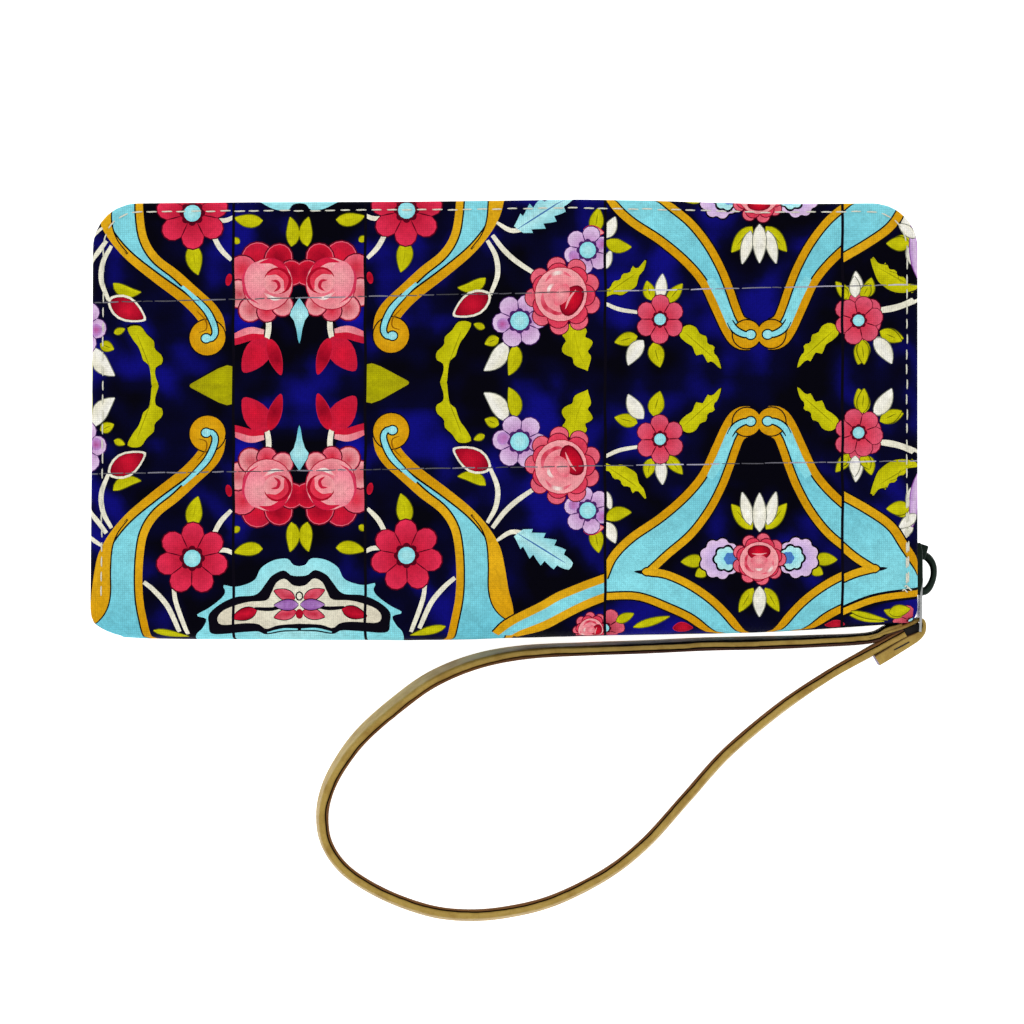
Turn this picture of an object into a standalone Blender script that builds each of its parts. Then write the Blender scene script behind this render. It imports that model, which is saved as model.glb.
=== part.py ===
"""Zip-around wristlet wallet, closed and lying on its back cover, with its wrist strap beside it.

Frame: metres, +Z up through the front cover, +X along the long side, +Y towards the zipped long edge.
The origin is the centre of the back cover's outer face, and the spine is the long edge at -Y.
"""

import math

import bmesh
import bpy
import numpy as np
from mathutils import Matrix, Vector

MM = 0.001
GAP = 0.3 * MM

# Outline of the closed wallet, seen from the front
LEFT_TOP, LEFT_BOTTOM, RIGHT = -96.9 * MM, -97.4 * MM, 97.4 * MM
TOP = 50.7 * MM
BOTTOM_LEFT, BOTTOM_RIGHT = -51.2 * MM, -47.9 * MM
TOP_RADIUS, BOTTOM_LEFT_RADIUS, BOTTOM_RIGHT_RADIUS = 10.6 * MM, 7.0 * MM, 2.2 * MM
CORNER_STEPS = 7

# Layers through the closed wallet, from the back cover's face
THICKNESS = 21.0 * MM
MIDDLE = THICKNESS / 2
COVER = 1.3 * MM
BOARD = 1.0 * MM
LINING = 0.5 * MM
BOARD_LOW = COVER + GAP
LINING_LOW = BOARD_LOW + BOARD + GAP
SLOT = 0.4 * MM
SLOT_LOW = LINING_LOW + LINING + GAP
SLOT_COUNT = 4
SPINE_SETBACK = 1.5 * MM
SPINE_WALL = 0.9 * MM
BOARD_INSET, LINING_INSET = 3.0 * MM, 3.6 * MM

# Inner pages: all of them turn about the spine's axis
SPINE_AXIS_Y = -52.0 * MM
PAGE_LOW_Y = -44.0 * MM
SLOT_HALF_X, SLOT_TOP_Y, SLOT_STEP_Y = 84.0 * MM, 30.0 * MM, 13.0 * MM
DIVIDER = 0.6 * MM
DIVIDER_LOW = 7.4 * MM
DIVIDER_HALF_X, DIVIDER_TOP_Y = 87.0 * MM, 38.0 * MM
PAGE_RADIUS = 4.0 * MM

# Pleated gussets
GUSSET_OUT_X, GUSSET_IN_X = 92.6 * MM, 88.2 * MM
GUSSET_LOW, GUSSET_HIGH = 4.0 * MM, 17.0 * MM
GUSSET_TOP_Y = 36.0 * MM
GUSSET_WALL = 0.4 * MM

# Zip round three sides
TAPE_INSET, TAPE_WALL = 1.6 * MM, 0.6 * MM
TAPE_LOW = COVER + 2 * GAP
TEETH_DEPTH, TEETH_RISE = 2.4 * MM, 2.4 * MM
ZIP_END_LEFT_Y, ZIP_END_RIGHT_Y = -43.5 * MM, -45.5 * MM
TEETH_END_Y = -38.6 * MM
STOP_LENGTH = 1.8 * MM

# Slider on the right side, at the closed end of its run
SLIDER_TOP_Y, SLIDER_BOTTOM_Y = -29.3 * MM, -41.6 * MM
SLIDER_HALF_Z = 4.5 * MM
PLATE_OUT_X, PLATE_THICK = 97.4 * MM, 1.0 * MM
PLATE_IN_X = 94.3 * MM
FLANGE = 0.8 * MM
CROWN_RADIUS = 0.75 * MM
CROWN_ROUTE = (
    (98.75, -31.0), (99.9, -31.3), (101.2, -33.2), (101.6, -36.0),
    (101.3, -38.6), (100.1, -40.5), (98.75, -40.8),
)

# Pull: a flat frame hanging from the crown, with a slot for the strap
PULL_AXIS_X, PULL_AXIS_Y = 99.4 * MM, -38.1 * MM
PULL_THICK = 0.9 * MM
PULL_TOP_HALF_Z, PULL_LOW_HALF_Z = 3.3 * MM, 5.9 * MM
FLARE_TOP_Y, FLARE_LOW_Y = -43.4 * MM, -46.6 * MM
EYE_WALL, EYE_LOW_Y, EYE_HALF_Z = 0.5 * MM, -42.6 * MM, 1.7 * MM
PULL_SLOT_TOP_Y = -47.4 * MM
BAR_X, BAR_Y, BAR_RADIUS = 98.3 * MM, -49.8 * MM, 0.5 * MM

# Wrist strap: doubled leather standing on its edge
STRAP_WIDTH, STRAP_THICK = 9.0 * MM, 2.4 * MM
STRAP_POINTS = 72
STRAP_ROUTE = (
    (91.0, -50.0, 10.5), (86.3, -51.9, 10.3), (72.0, -52.7, 8.9),
    (60.0, -53.1, 7.4), (48.0, -53.4, 6.0), (33.6, -54.1, 4.9), (19.3, -54.6, 4.7),
    (4.7, -55.4, 4.7), (-6.8, -57.6, 4.7), (-17.2, -61.9, 4.7), (-25.9, -68.1, 4.7),
    (-33.6, -74.9, 4.7), (-38.6, -81.3, 4.7), (-42.0, -87.8, 4.7), (-43.3, -94.4, 4.7),
    (-42.1, -101.3, 4.7), (-37.4, -107.6, 4.7), (-28.7, -113.0, 4.7), (-18.4, -116.8, 4.7),
    (-9.6, -118.0, 4.7), (0.0, -117.4, 4.7), (11.5, -114.6, 4.7), (24.0, -108.4, 4.7),
    (33.6, -100.9, 4.7), (43.3, -90.2, 4.7), (52.9, -79.5, 4.9), (65.4, -68.9, 5.6),
    (76.9, -60.9, 7.6), (86.3, -55.4, 9.8), (94.8, -50.6, 10.5),
)
FOLD_THIN, FOLD_MIDDLE, FOLD_THICK = 0.5 * MM, 0.75 * MM, 1.25 * MM
FOLD_BEND = 1.3 * MM
FOLD_TURN_START, FOLD_TURN_END = 95, -40
FOLD_LEG = ((91.3 * MM, -49.3 * MM), (94.8 * MM, -48.8 * MM))
FOLD_TAB = ((98.4 * MM, -51.9 * MM), (97.2 * MM, -53.0 * MM), (88.3 * MM, -58.1 * MM))

# Coin pocket, the middle page
COIN_WALL = 0.5 * MM
COIN_LOW = 8.4 * MM
COIN_HALF_X, COIN_TOP_Y = 84.0 * MM, 29.0 * MM
COIN_TAPE_LOW_Y, COIN_TAPE_WALL = COIN_TOP_Y + GAP, 0.6 * MM
COIN_TEETH_HALF_X, COIN_TEETH_LOW_Y, COIN_TEETH_HIGH_Y = 80.0 * MM, 28.8 * MM, 30.5 * MM
COIN_TEETH_RISE = 0.65 * MM
COIN_SLIDER_X, COIN_SLIDER_HALF_X = -74.0 * MM, 3.6 * MM
COIN_PULL_LENGTH, COIN_PULL_HALF_Z, COIN_PULL_THICK = 12.0 * MM, 1.8 * MM, 0.8 * MM
COIN_PULL_AXIS_Y = 33.6 * MM

COLOURS = {
    "printed_cloth": ((0.03, 0.04, 0.22, 1), 0.75, 0),
    "board": ((0.45, 0.38, 0.28, 1), 0.9, 0),
    "lining": ((0.05, 0.05, 0.07, 1), 0.8, 0),
    "page_leather": ((0.10, 0.07, 0.06, 1), 0.55, 0),
    "zip_tape": ((0.01, 0.01, 0.012, 1), 0.9, 0),
    "zip_teeth": ((0.02, 0.02, 0.02, 1), 0.4, 0),
    "black_metal": ((0.02, 0.03, 0.025, 1), 0.3, 1),
    "silver_metal": ((0.75, 0.76, 0.76, 1), 0.25, 1),
    "strap_leather": ((0.52, 0.33, 0.12, 1), 0.6, 0),
}


def material(name):
    """The named material, made once."""
    if name in bpy.data.materials:
        return bpy.data.materials[name]
    colour, roughness, metallic = COLOURS[name]
    made = bpy.data.materials.new(name)
    made.use_nodes = True
    shader = made.node_tree.nodes["Principled BSDF"]
    shader.inputs["Base Color"].default_value = colour
    shader.inputs["Roughness"].default_value = roughness
    shader.inputs["Metallic"].default_value = metallic
    return made


def collection(name):
    """The named collection, linked into the scene."""
    made = bpy.data.collections.new(name)
    bpy.context.scene.collection.children.link(made)
    return made


def axis_empty(name, place):
    """An empty on a joint's axis."""
    empty = bpy.data.objects.new(name, None)
    empty.empty_display_size = 5 * MM
    empty.location = place
    WALLET.objects.link(empty)
    return empty


def place(obj, finish, joint=None):
    """Puts a finished object in the wallet, with its material, hung on its joint's empty."""
    obj.data.materials.append(material(finish))
    WALLET.objects.link(obj)
    if joint is not None:
        obj.parent = joint
        obj.matrix_parent_inverse = Matrix.Translation(-joint.location)
    return obj


def smooth(mesh):
    """Smooth shading with sharp edges kept."""
    mesh.shade_smooth()
    mesh.set_sharp_from_angle(angle=math.radians(35))


def rounded(corners, steps=CORNER_STEPS):
    """A closed outline from (x, y, radius) corners, each turned with an arc of its radius."""
    outline = []
    count = len(corners)
    for i, (x, y, radius) in enumerate(corners):
        corner = Vector((x, y))
        back = (Vector(corners[i - 1][:2]) - corner).normalized()
        ahead = (Vector(corners[(i + 1) % count][:2]) - corner).normalized()
        half = back.angle(ahead) / 2
        centre = corner + (back + ahead).normalized() * radius / math.sin(half)
        first = corner + back * radius / math.tan(half) - centre
        last = corner + ahead * radius / math.tan(half) - centre
        turn = first.angle_signed(last)
        for step in range(steps + 1):
            arm = first.copy()
            arm.rotate(Matrix.Rotation(-turn * step / steps, 2))
            outline.append(tuple(centre + arm))
    return outline


def cover_corners(inset, bottom_inset):
    """The wallet's corners, moved in from its outline."""
    return (
        (LEFT_TOP + inset, TOP - inset, TOP_RADIUS - inset),
        (LEFT_BOTTOM + inset, BOTTOM_LEFT + bottom_inset, max(BOTTOM_LEFT_RADIUS - inset, MM)),
        (RIGHT - inset, BOTTOM_RIGHT + bottom_inset, max(BOTTOM_RIGHT_RADIUS - inset, MM)),
        (RIGHT - inset, TOP - inset, TOP_RADIUS - inset),
    )


def page_corners(half_x, low_y, top_y):
    """A page's corners, rounded at its free edge."""
    return (
        (-half_x, top_y, PAGE_RADIUS),
        (-half_x, low_y, MM),
        (half_x, low_y, MM),
        (half_x, top_y, PAGE_RADIUS),
    )


def plate(name, outline, low, high, finish, joint=None):
    """A flat plate: a filled outline given a thickness."""
    curve = bpy.data.curves.new(name, "CURVE")
    curve.dimensions = "2D"
    curve.fill_mode = "BOTH"
    curve.extrude = (high - low) / 2
    spline = curve.splines.new("POLY")
    spline.points.add(len(outline) - 1)
    for point, (x, y) in zip(spline.points, outline):
        point.co = (x, y, 0, 1)
    spline.use_cyclic_u = True
    obj = bpy.data.objects.new(name, curve)
    obj.location.z = (low + high) / 2
    return place(obj, finish, joint)


def sheet(name, rows, thickness, finish, joint=None):
    """An open surface through rows of points, made solid with Solidify."""
    work = bmesh.new()
    grid = [[work.verts.new(p) for p in row] for row in rows]
    for low, high in zip(grid, grid[1:]):
        for a, b, c, d in zip(low, low[1:], high[1:], high):
            work.faces.new((a, b, c, d))
    mesh = bpy.data.meshes.new(name)
    work.to_mesh(mesh)
    work.free()
    smooth(mesh)
    obj = bpy.data.objects.new(name, mesh)
    solidify = obj.modifiers.new("Thickness", "SOLIDIFY")
    solidify.thickness = thickness
    solidify.offset = 0
    solidify.use_even_offset = True
    return place(obj, finish, joint)


def box(name, low, high):
    """A plain box between two corners, not yet in the wallet."""
    low, high = Vector(low), Vector(high)
    size = high - low
    work = bmesh.new()
    bmesh.ops.create_cube(work, size=1, matrix=Matrix.Diagonal((*size, 1)))
    bmesh.ops.translate(work, vec=(low + high) / 2, verts=work.verts)
    mesh = bpy.data.meshes.new(name)
    work.to_mesh(mesh)
    work.free()
    return bpy.data.objects.new(name, mesh)


def rounded_box(name, low, high, radius, finish, joint=None):
    """A box with rounded edges, in the wallet."""
    obj = place(box(name, low, high), finish, joint)
    bevel = obj.modifiers.new("Edges", "BEVEL")
    bevel.width = radius
    bevel.segments = 2
    return obj


def combine(obj, other, operation):
    """Adds or cuts another shape, which stays hidden among the cutters."""
    CUTTERS.objects.link(other)
    other.hide_render = True
    other.display_type = "WIRE"
    if obj.parent is not None:
        other.parent = obj.parent
        other.matrix_parent_inverse = obj.matrix_parent_inverse
    boolean = obj.modifiers.new(operation.title(), "BOOLEAN")
    boolean.operation = operation
    boolean.solver = "EXACT"
    boolean.object = other


def smooth_route(route, count):
    """Evenly spaced points on a Catmull-Rom curve through the route's own points, in metres."""
    points = np.array(route) * MM
    ends = np.vstack([2 * points[0] - points[1], points, 2 * points[-1] - points[-2]])
    fine = []
    for p0, p1, p2, p3 in zip(ends, ends[1:], ends[2:], ends[3:]):
        for t in np.arange(0, 1, 0.05):
            square = (2 * p0 - 5 * p1 + 4 * p2 - p3) * t**2
            cube = (3 * p1 - p0 - 3 * p2 + p3) * t**3
            fine.append(0.5 * (2 * p1 + (p2 - p0) * t + square + cube))
    fine = np.array(fine + [points[-1]])
    along = np.concatenate([[0], np.cumsum(np.linalg.norm(np.diff(fine, axis=0), axis=1))])
    wanted = np.linspace(0, along[-1], count)
    return np.stack([np.interp(wanted, along, fine[:, k]) for k in range(fine.shape[1])], axis=1)


def wire(name, points, finish, joint=None, radius=None, section=None):
    """A bent wire of one radius, or a bent bar of a given section, with filled caps."""
    curve = bpy.data.curves.new(name, "CURVE")
    curve.dimensions = "3D"
    curve.twist_mode = "Z_UP"
    curve.use_fill_caps = True
    if section is not None:
        curve.bevel_mode = "OBJECT"
        curve.bevel_object = section
    else:
        curve.bevel_depth = radius
        curve.bevel_resolution = 2
    spline = curve.splines.new("POLY")
    spline.points.add(len(points) - 1)
    for point, co in zip(spline.points, points):
        point.co = (*co, 1)
    return place(bpy.data.objects.new(name, curve), finish, joint)


def zip_path(end_right_y):
    """The zip's line: up the left side, along the top and down the right side."""
    outline = rounded(cover_corners(TAPE_INSET, TAPE_INSET))
    turn = CORNER_STEPS + 1
    top_left = outline[:turn][::-1]
    top_right = outline[3 * turn:][::-1]
    left_x = LEFT_BOTTOM + TAPE_INSET
    right_x = RIGHT - TAPE_INSET
    return [(left_x, ZIP_END_LEFT_Y)] + top_left + top_right + [(right_x, end_right_y)]


def mirrored(low, high):
    """The same layer on the front half, counted from the front cover's face."""
    return THICKNESS - high, THICKNESS - low


def half(side, joint, flip):
    """One cover with its board, lining, card slots, zip tape and teeth."""
    def layer(low, high):
        return mirrored(low, high) if flip else (low, high)

    cover = rounded(cover_corners(0, SPINE_SETBACK))
    plate(f"{side}_cover", cover, *layer(0, COVER), "printed_cloth", joint)
    board = rounded(cover_corners(BOARD_INSET, BOARD_INSET))
    plate(f"{side}_board", board, *layer(BOARD_LOW, BOARD_LOW + BOARD), "board", joint)
    lining = rounded(cover_corners(LINING_INSET, LINING_INSET))
    plate(f"{side}_lining", lining, *layer(LINING_LOW, LINING_LOW + LINING), "lining", joint)
    for k in range(SLOT_COUNT):
        slot = rounded(page_corners(SLOT_HALF_X, PAGE_LOW_Y, SLOT_TOP_Y - k * SLOT_STEP_Y))
        low = SLOT_LOW + k * (SLOT + GAP)
        plate(f"{side}_card_slot_{k + 1}", slot, *layer(low, low + SLOT), "page_leather", joint)
    teeth_high = MIDDLE - GAP / 2
    teeth_low = teeth_high - TEETH_RISE
    tape = layer(TAPE_LOW, teeth_low - GAP)
    teeth = layer(teeth_low, teeth_high)
    tape_rows = [[(x, y, z) for x, y in zip_path(ZIP_END_RIGHT_Y)] for z in tape]
    teeth_rows = [[(x, y, z) for x, y in zip_path(TEETH_END_Y)] for z in teeth]
    sheet(f"{side}_zip_tape", tape_rows, TAPE_WALL, "zip_tape", joint)
    sheet(f"{side}_zip_teeth", teeth_rows, TEETH_DEPTH, "zip_teeth", joint)
    stop_x = RIGHT - TAPE_INSET
    stop_top = SLIDER_BOTTOM_Y - GAP
    rounded_box(
        f"zip_top_stop_{side}",
        (stop_x - TEETH_DEPTH / 2, stop_top - STOP_LENGTH, teeth[0]),
        (stop_x + TEETH_DEPTH / 2, stop_top, teeth[1]),
        0.3 * MM, "black_metal", joint,
    )


def bottom_stop():
    """The stop that joins both rows of teeth at the left end of the zip."""
    x = LEFT_BOTTOM + TAPE_INSET
    reach = TEETH_RISE + GAP / 2
    rounded_box(
        "zip_bottom_stop",
        (x - TEETH_DEPTH / 2, ZIP_END_LEFT_Y - GAP - STOP_LENGTH, MIDDLE - reach),
        (x + TEETH_DEPTH / 2, ZIP_END_LEFT_Y - GAP, MIDDLE + reach),
        0.3 * MM, "black_metal",
    )


def spine():
    """The cloth round the bottom edge, bowed out between the two covers."""
    low = COVER + GAP
    high = THICKNESS - low
    steps = 10
    rows = []
    for k in range(steps + 1):
        z = low + (high - low) * k / steps
        bow = SPINE_SETBACK * math.sin(math.pi * k / steps)
        inward = SPINE_SETBACK + SPINE_WALL / 2 - bow
        rows.append([
            (LEFT_BOTTOM + BOTTOM_LEFT_RADIUS, BOTTOM_LEFT + inward, z),
            (RIGHT - BOTTOM_RIGHT_RADIUS - MM, BOTTOM_RIGHT + inward, z),
        ])
    sheet("spine_cover", rows, SPINE_WALL, "printed_cloth")


def gusset(name, side):
    """A pleated side wall, folded inwards at each page."""
    steps = 6
    rows = []
    for k in range(steps + 1):
        z = GUSSET_LOW + (GUSSET_HIGH - GUSSET_LOW) * k / steps
        x = GUSSET_IN_X if k % 2 else GUSSET_OUT_X
        rows.append([(side * x, PAGE_LOW_Y, z), (side * x, GUSSET_TOP_Y, z)])
    sheet(name, rows, GUSSET_WALL, "lining")


def dividers():
    """The two plain pages on either side of the coin pocket."""
    outline = rounded(page_corners(DIVIDER_HALF_X, PAGE_LOW_Y, DIVIDER_TOP_Y))
    layer = (DIVIDER_LOW, DIVIDER_LOW + DIVIDER)
    plate("back_divider", outline, *layer, "page_leather", axis_empty("back_divider_axis", SPINE_AXIS))
    joint = axis_empty("front_divider_axis", SPINE_AXIS)
    plate("front_divider", outline, *mirrored(*layer), "page_leather", joint)


def coin_pocket():
    """The middle page: two walls closed by a small zip along their top edge."""
    joint = axis_empty("coin_pocket_axis", SPINE_AXIS)
    outline = rounded(page_corners(COIN_HALF_X, PAGE_LOW_Y, COIN_TOP_Y))
    teeth_high = MIDDLE - GAP / 2
    for side, flip in (("back", False), ("front", True)):
        def layer(low, high, flip=flip):
            return mirrored(low, high) if flip else (low, high)

        plate(f"coin_pocket_{side}", outline, *layer(COIN_LOW, COIN_LOW + COIN_WALL), "page_leather", joint)
        low, high = layer(COIN_LOW, teeth_high - COIN_TEETH_RISE - GAP)
        rounded_box(
            f"coin_zip_tape_{side}",
            (-COIN_HALF_X, COIN_TAPE_LOW_Y, low), (COIN_HALF_X, COIN_TAPE_LOW_Y + COIN_TAPE_WALL, high),
            0.1 * MM, "zip_tape", joint,
        )
        low, high = layer(teeth_high - COIN_TEETH_RISE, teeth_high)
        rounded_box(
            f"coin_zip_teeth_{side}",
            (-COIN_TEETH_HALF_X, COIN_TEETH_LOW_Y, low), (COIN_TEETH_HALF_X, COIN_TEETH_HIGH_Y, high),
            0.1 * MM, "zip_teeth", joint,
        )


def coin_slider():
    """The coin zip's slider, at the left end of its run, and its little pull."""
    joint = axis_empty("coin_slider_axis", (COIN_SLIDER_X, COIN_PULL_AXIS_Y, MIDDLE))
    left, right = COIN_SLIDER_X - COIN_SLIDER_HALF_X, COIN_SLIDER_X + COIN_SLIDER_HALF_X
    plate_low, plate_high = COIN_TEETH_HIGH_Y + GAP, COIN_TEETH_HIGH_Y + GAP + 0.9 * MM
    half_z = MIDDLE - COIN_LOW
    obj = rounded_box(
        "coin_zip_slider", (left, plate_low, MIDDLE - half_z), (right, plate_high, MIDDLE + half_z),
        0.25 * MM, "silver_metal", joint,
    )
    ear = 0.7 * MM
    for sign in (-1, 1):
        z = MIDDLE + sign * (COIN_PULL_HALF_Z - ear / 2)
        combine(obj, box(
            f"coin_ear_{sign}",
            (COIN_SLIDER_X - 0.9 * MM, plate_high - 0.2 * MM, z - ear / 2),
            (COIN_SLIDER_X + 0.9 * MM, COIN_PULL_AXIS_Y + 0.9 * MM, z + ear / 2),
        ), "UNION")
    pull_joint = axis_empty("coin_pull_axis", (COIN_SLIDER_X, COIN_PULL_AXIS_Y, MIDDLE))
    half_y = COIN_PULL_THICK / 2
    neck = COIN_PULL_HALF_Z - ear - GAP
    pull = rounded_box(
        "coin_zip_pull",
        (COIN_SLIDER_X - 0.5 * MM, COIN_PULL_AXIS_Y - half_y, MIDDLE - neck),
        (COIN_SLIDER_X + 3.0 * MM, COIN_PULL_AXIS_Y + half_y, MIDDLE + neck),
        0.15 * MM, "silver_metal", pull_joint,
    )
    combine(pull, box(
        "coin_pull_leaf",
        (COIN_SLIDER_X + 1.6 * MM, COIN_PULL_AXIS_Y - half_y * 0.9, MIDDLE - COIN_PULL_HALF_Z),
        (COIN_SLIDER_X + COIN_PULL_LENGTH, COIN_PULL_AXIS_Y + half_y * 0.9, MIDDLE + COIN_PULL_HALF_Z),
    ), "UNION")


def slider():
    """The main slider: two plates joined by a post, lips that keep the tapes in, and an arched crown."""
    joint = axis_empty("zip_slider_axis", (PLATE_OUT_X, SLIDER_TOP_Y, MIDDLE))
    low_z, high_z = MIDDLE - SLIDER_HALF_Z, MIDDLE + SLIDER_HALF_Z
    obj = place(box(
        "zip_slider",
        (PLATE_OUT_X, SLIDER_BOTTOM_Y, low_z),
        (PLATE_OUT_X + PLATE_THICK, SLIDER_TOP_Y, high_z),
    ), "black_metal", joint)
    tape_x = RIGHT - TAPE_INSET
    slit = TAPE_WALL / 2 + GAP
    combine(obj, box(
        "slider_inner_plate",
        (PLATE_IN_X - PLATE_THICK, SLIDER_BOTTOM_Y, low_z),
        (PLATE_IN_X, SLIDER_TOP_Y, high_z),
    ), "UNION")
    combine(obj, box(
        "slider_post",
        (PLATE_IN_X - PLATE_THICK / 2, SLIDER_BOTTOM_Y + 0.5 * MM, MIDDLE - MM),
        (PLATE_OUT_X + PLATE_THICK / 2, TEETH_END_Y - GAP, MIDDLE + MM),
    ), "UNION")
    for sign in (-1, 1):
        edge = MIDDLE + sign * (SLIDER_HALF_Z - FLANGE / 2)
        for name, start, end in (
            ("outer_lip", tape_x + slit, PLATE_OUT_X + PLATE_THICK / 2),
            ("inner_lip", PLATE_IN_X - PLATE_THICK / 2, tape_x - slit),
        ):
            combine(obj, box(
                f"{name}_{sign}",
                (start, SLIDER_BOTTOM_Y + 0.2 * MM, edge - FLANGE / 2 + 0.05 * MM),
                (end, SLIDER_TOP_Y - 0.2 * MM, edge + FLANGE / 2 - 0.05 * MM),
            ), "UNION")
    flat = [(x, y, MIDDLE / MM) for x, y in CROWN_ROUTE]
    wire("slider_crown", smooth_route(flat, 16), "black_metal", joint, radius=CROWN_RADIUS)


def pull():
    """The silver pull: a tapered frame, its top bar under the crown and its lower bar in the fold."""
    joint = axis_empty("zip_pull_axis", (PULL_AXIS_X, PULL_AXIS_Y, MIDDLE))
    profile = (
        (PULL_AXIS_Y + EYE_WALL, PULL_TOP_HALF_Z), (FLARE_TOP_Y, PULL_TOP_HALF_Z),
        (FLARE_LOW_Y, PULL_LOW_HALF_Z), (BAR_Y - BAR_RADIUS, PULL_LOW_HALF_Z),
    )
    rows = []
    for y, half_z in profile:
        lean = (PULL_AXIS_Y - y) / (PULL_AXIS_Y - BAR_Y)
        x = PULL_AXIS_X + (BAR_X - PULL_AXIS_X) * min(max(lean, 0), 1)
        rows.append([(x, y, MIDDLE - half_z), (x, y, MIDDLE + half_z)])
    obj = sheet("zip_pull", rows, PULL_THICK, "silver_metal", joint)
    reach = 3 * MM
    slot_half_z = STRAP_WIDTH / 2 + GAP
    combine(obj, box(
        "pull_eye",
        (PULL_AXIS_X - reach, EYE_LOW_Y, MIDDLE - EYE_HALF_Z),
        (PULL_AXIS_X + reach, PULL_AXIS_Y - EYE_WALL, MIDDLE + EYE_HALF_Z),
    ), "DIFFERENCE")
    combine(obj, box(
        "pull_slot",
        (BAR_X - reach, BAR_Y + BAR_RADIUS, MIDDLE - slot_half_z),
        (BAR_X + reach, PULL_SLOT_TOP_Y, MIDDLE + slot_half_z),
    ), "DIFFERENCE")


def strap():
    """The wrist loop, and the end that folds round the pull's lower bar and is sewn back as a tab."""
    joint = axis_empty("wrist_strap_axis", (BAR_X, BAR_Y, MIDDLE))
    section = bpy.data.curves.new("strap_section", "CURVE")
    section.dimensions = "2D"
    spline = section.splines.new("POLY")
    half_x, half_y, chamfer = STRAP_THICK / 2, STRAP_WIDTH / 2, 0.5 * MM
    ring = [
        (half_x - chamfer, half_y), (-half_x + chamfer, half_y),
        (-half_x, half_y - chamfer), (-half_x, chamfer - half_y),
        (-half_x + chamfer, -half_y), (half_x - chamfer, -half_y),
        (half_x, chamfer - half_y), (half_x, half_y - chamfer),
    ]
    spline.points.add(len(ring) - 1)
    for point, (x, y) in zip(spline.points, ring[::-1]):
        point.co = (x, y, 0, 1)
    spline.use_cyclic_u = True
    guide = bpy.data.objects.new("strap_section", section)
    CUTTERS.objects.link(guide)
    guide.hide_render = True
    guide.display_type = "WIRE"
    wire("wrist_strap", smooth_route(STRAP_ROUTE, STRAP_POINTS), "strap_leather", joint, section=guide)

    bar = Vector((BAR_X, BAR_Y))
    angles = np.radians(np.linspace(FOLD_TURN_START, FOLD_TURN_END, 9))
    turn = [tuple(bar + Vector((math.cos(a), math.sin(a))) * FOLD_BEND) for a in angles]
    line = [*FOLD_LEG, *turn, *FOLD_TAB]
    halves = [FOLD_THIN] * (len(FOLD_LEG) + len(turn)) + [FOLD_MIDDLE, FOLD_THICK, FOLD_THICK]
    points = [Vector(p) for p in line]
    left, right = [], []
    for i, (p, h) in enumerate(zip(points, halves)):
        ahead = (points[min(i + 1, len(points) - 1)] - points[max(i - 1, 0)]).normalized()
        side = Vector((-ahead.y, ahead.x)) * h
        left.append(tuple(p + side))
        right.append(tuple(p - side))
    outline = left + right[::-1]
    low, high = MIDDLE - STRAP_WIDTH / 2, MIDDLE + STRAP_WIDTH / 2
    plate("strap_end_fold", outline, low, high, "strap_leather", joint)


for old in list(bpy.data.objects):
    bpy.data.objects.remove(old, do_unlink=True)
WALLET = collection("wristlet_wallet")
CUTTERS = collection("cutters")
SPINE_AXIS = (0, SPINE_AXIS_Y, MIDDLE)

half("back", None, False)
half("front", axis_empty("front_half_axis", SPINE_AXIS), True)
bottom_stop()
spine()
gusset("left_gusset", -1)
gusset("right_gusset", 1)
dividers()
coin_pocket()
coin_slider()
slider()
pull()
strap()
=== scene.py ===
"""Looks of the wristlet wallet: printed cloth, zip, metal, leather strap and inner pages."""

import math
import random

import bmesh
import bpy
import numpy as np
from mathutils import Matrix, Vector, geometry, noise


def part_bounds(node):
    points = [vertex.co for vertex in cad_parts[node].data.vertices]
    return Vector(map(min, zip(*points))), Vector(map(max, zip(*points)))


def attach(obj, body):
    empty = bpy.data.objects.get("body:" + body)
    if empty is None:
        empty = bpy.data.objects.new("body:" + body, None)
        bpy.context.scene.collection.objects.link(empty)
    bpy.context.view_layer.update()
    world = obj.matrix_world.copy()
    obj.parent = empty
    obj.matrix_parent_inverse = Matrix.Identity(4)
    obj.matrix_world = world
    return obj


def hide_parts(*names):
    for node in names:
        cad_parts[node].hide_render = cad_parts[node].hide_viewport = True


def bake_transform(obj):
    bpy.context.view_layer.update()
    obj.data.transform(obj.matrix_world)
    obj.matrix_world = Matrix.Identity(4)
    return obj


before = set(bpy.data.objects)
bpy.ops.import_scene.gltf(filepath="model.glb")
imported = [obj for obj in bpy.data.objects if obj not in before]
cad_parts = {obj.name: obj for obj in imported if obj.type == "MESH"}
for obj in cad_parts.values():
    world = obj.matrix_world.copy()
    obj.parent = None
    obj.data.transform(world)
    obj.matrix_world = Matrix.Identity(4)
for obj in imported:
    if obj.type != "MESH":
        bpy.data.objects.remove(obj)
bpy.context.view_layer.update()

MM = 0.001
THICK = 0.021


def part_box(name):
    """A node's box in millimetres, as (low, high) arrays."""
    low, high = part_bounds(name)
    return np.array(low) / MM, np.array(high) / MM


TOP_Z = part_box("front_cover")[1][2]
HALF_Z = TOP_Z / 2
CORNER_RADIUS = 10.6
CROWN_HALF_SPAN = 97


# ---------------------------------------------------------------- colours and materials

def linear(rgb):
    """Linear colour from red, green and blue out of 255."""
    c = np.asarray(rgb, float) / 255
    return np.where(c <= 0.04045, c / 12.92, ((c + 0.055) / 1.055) ** 2.4)


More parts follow.
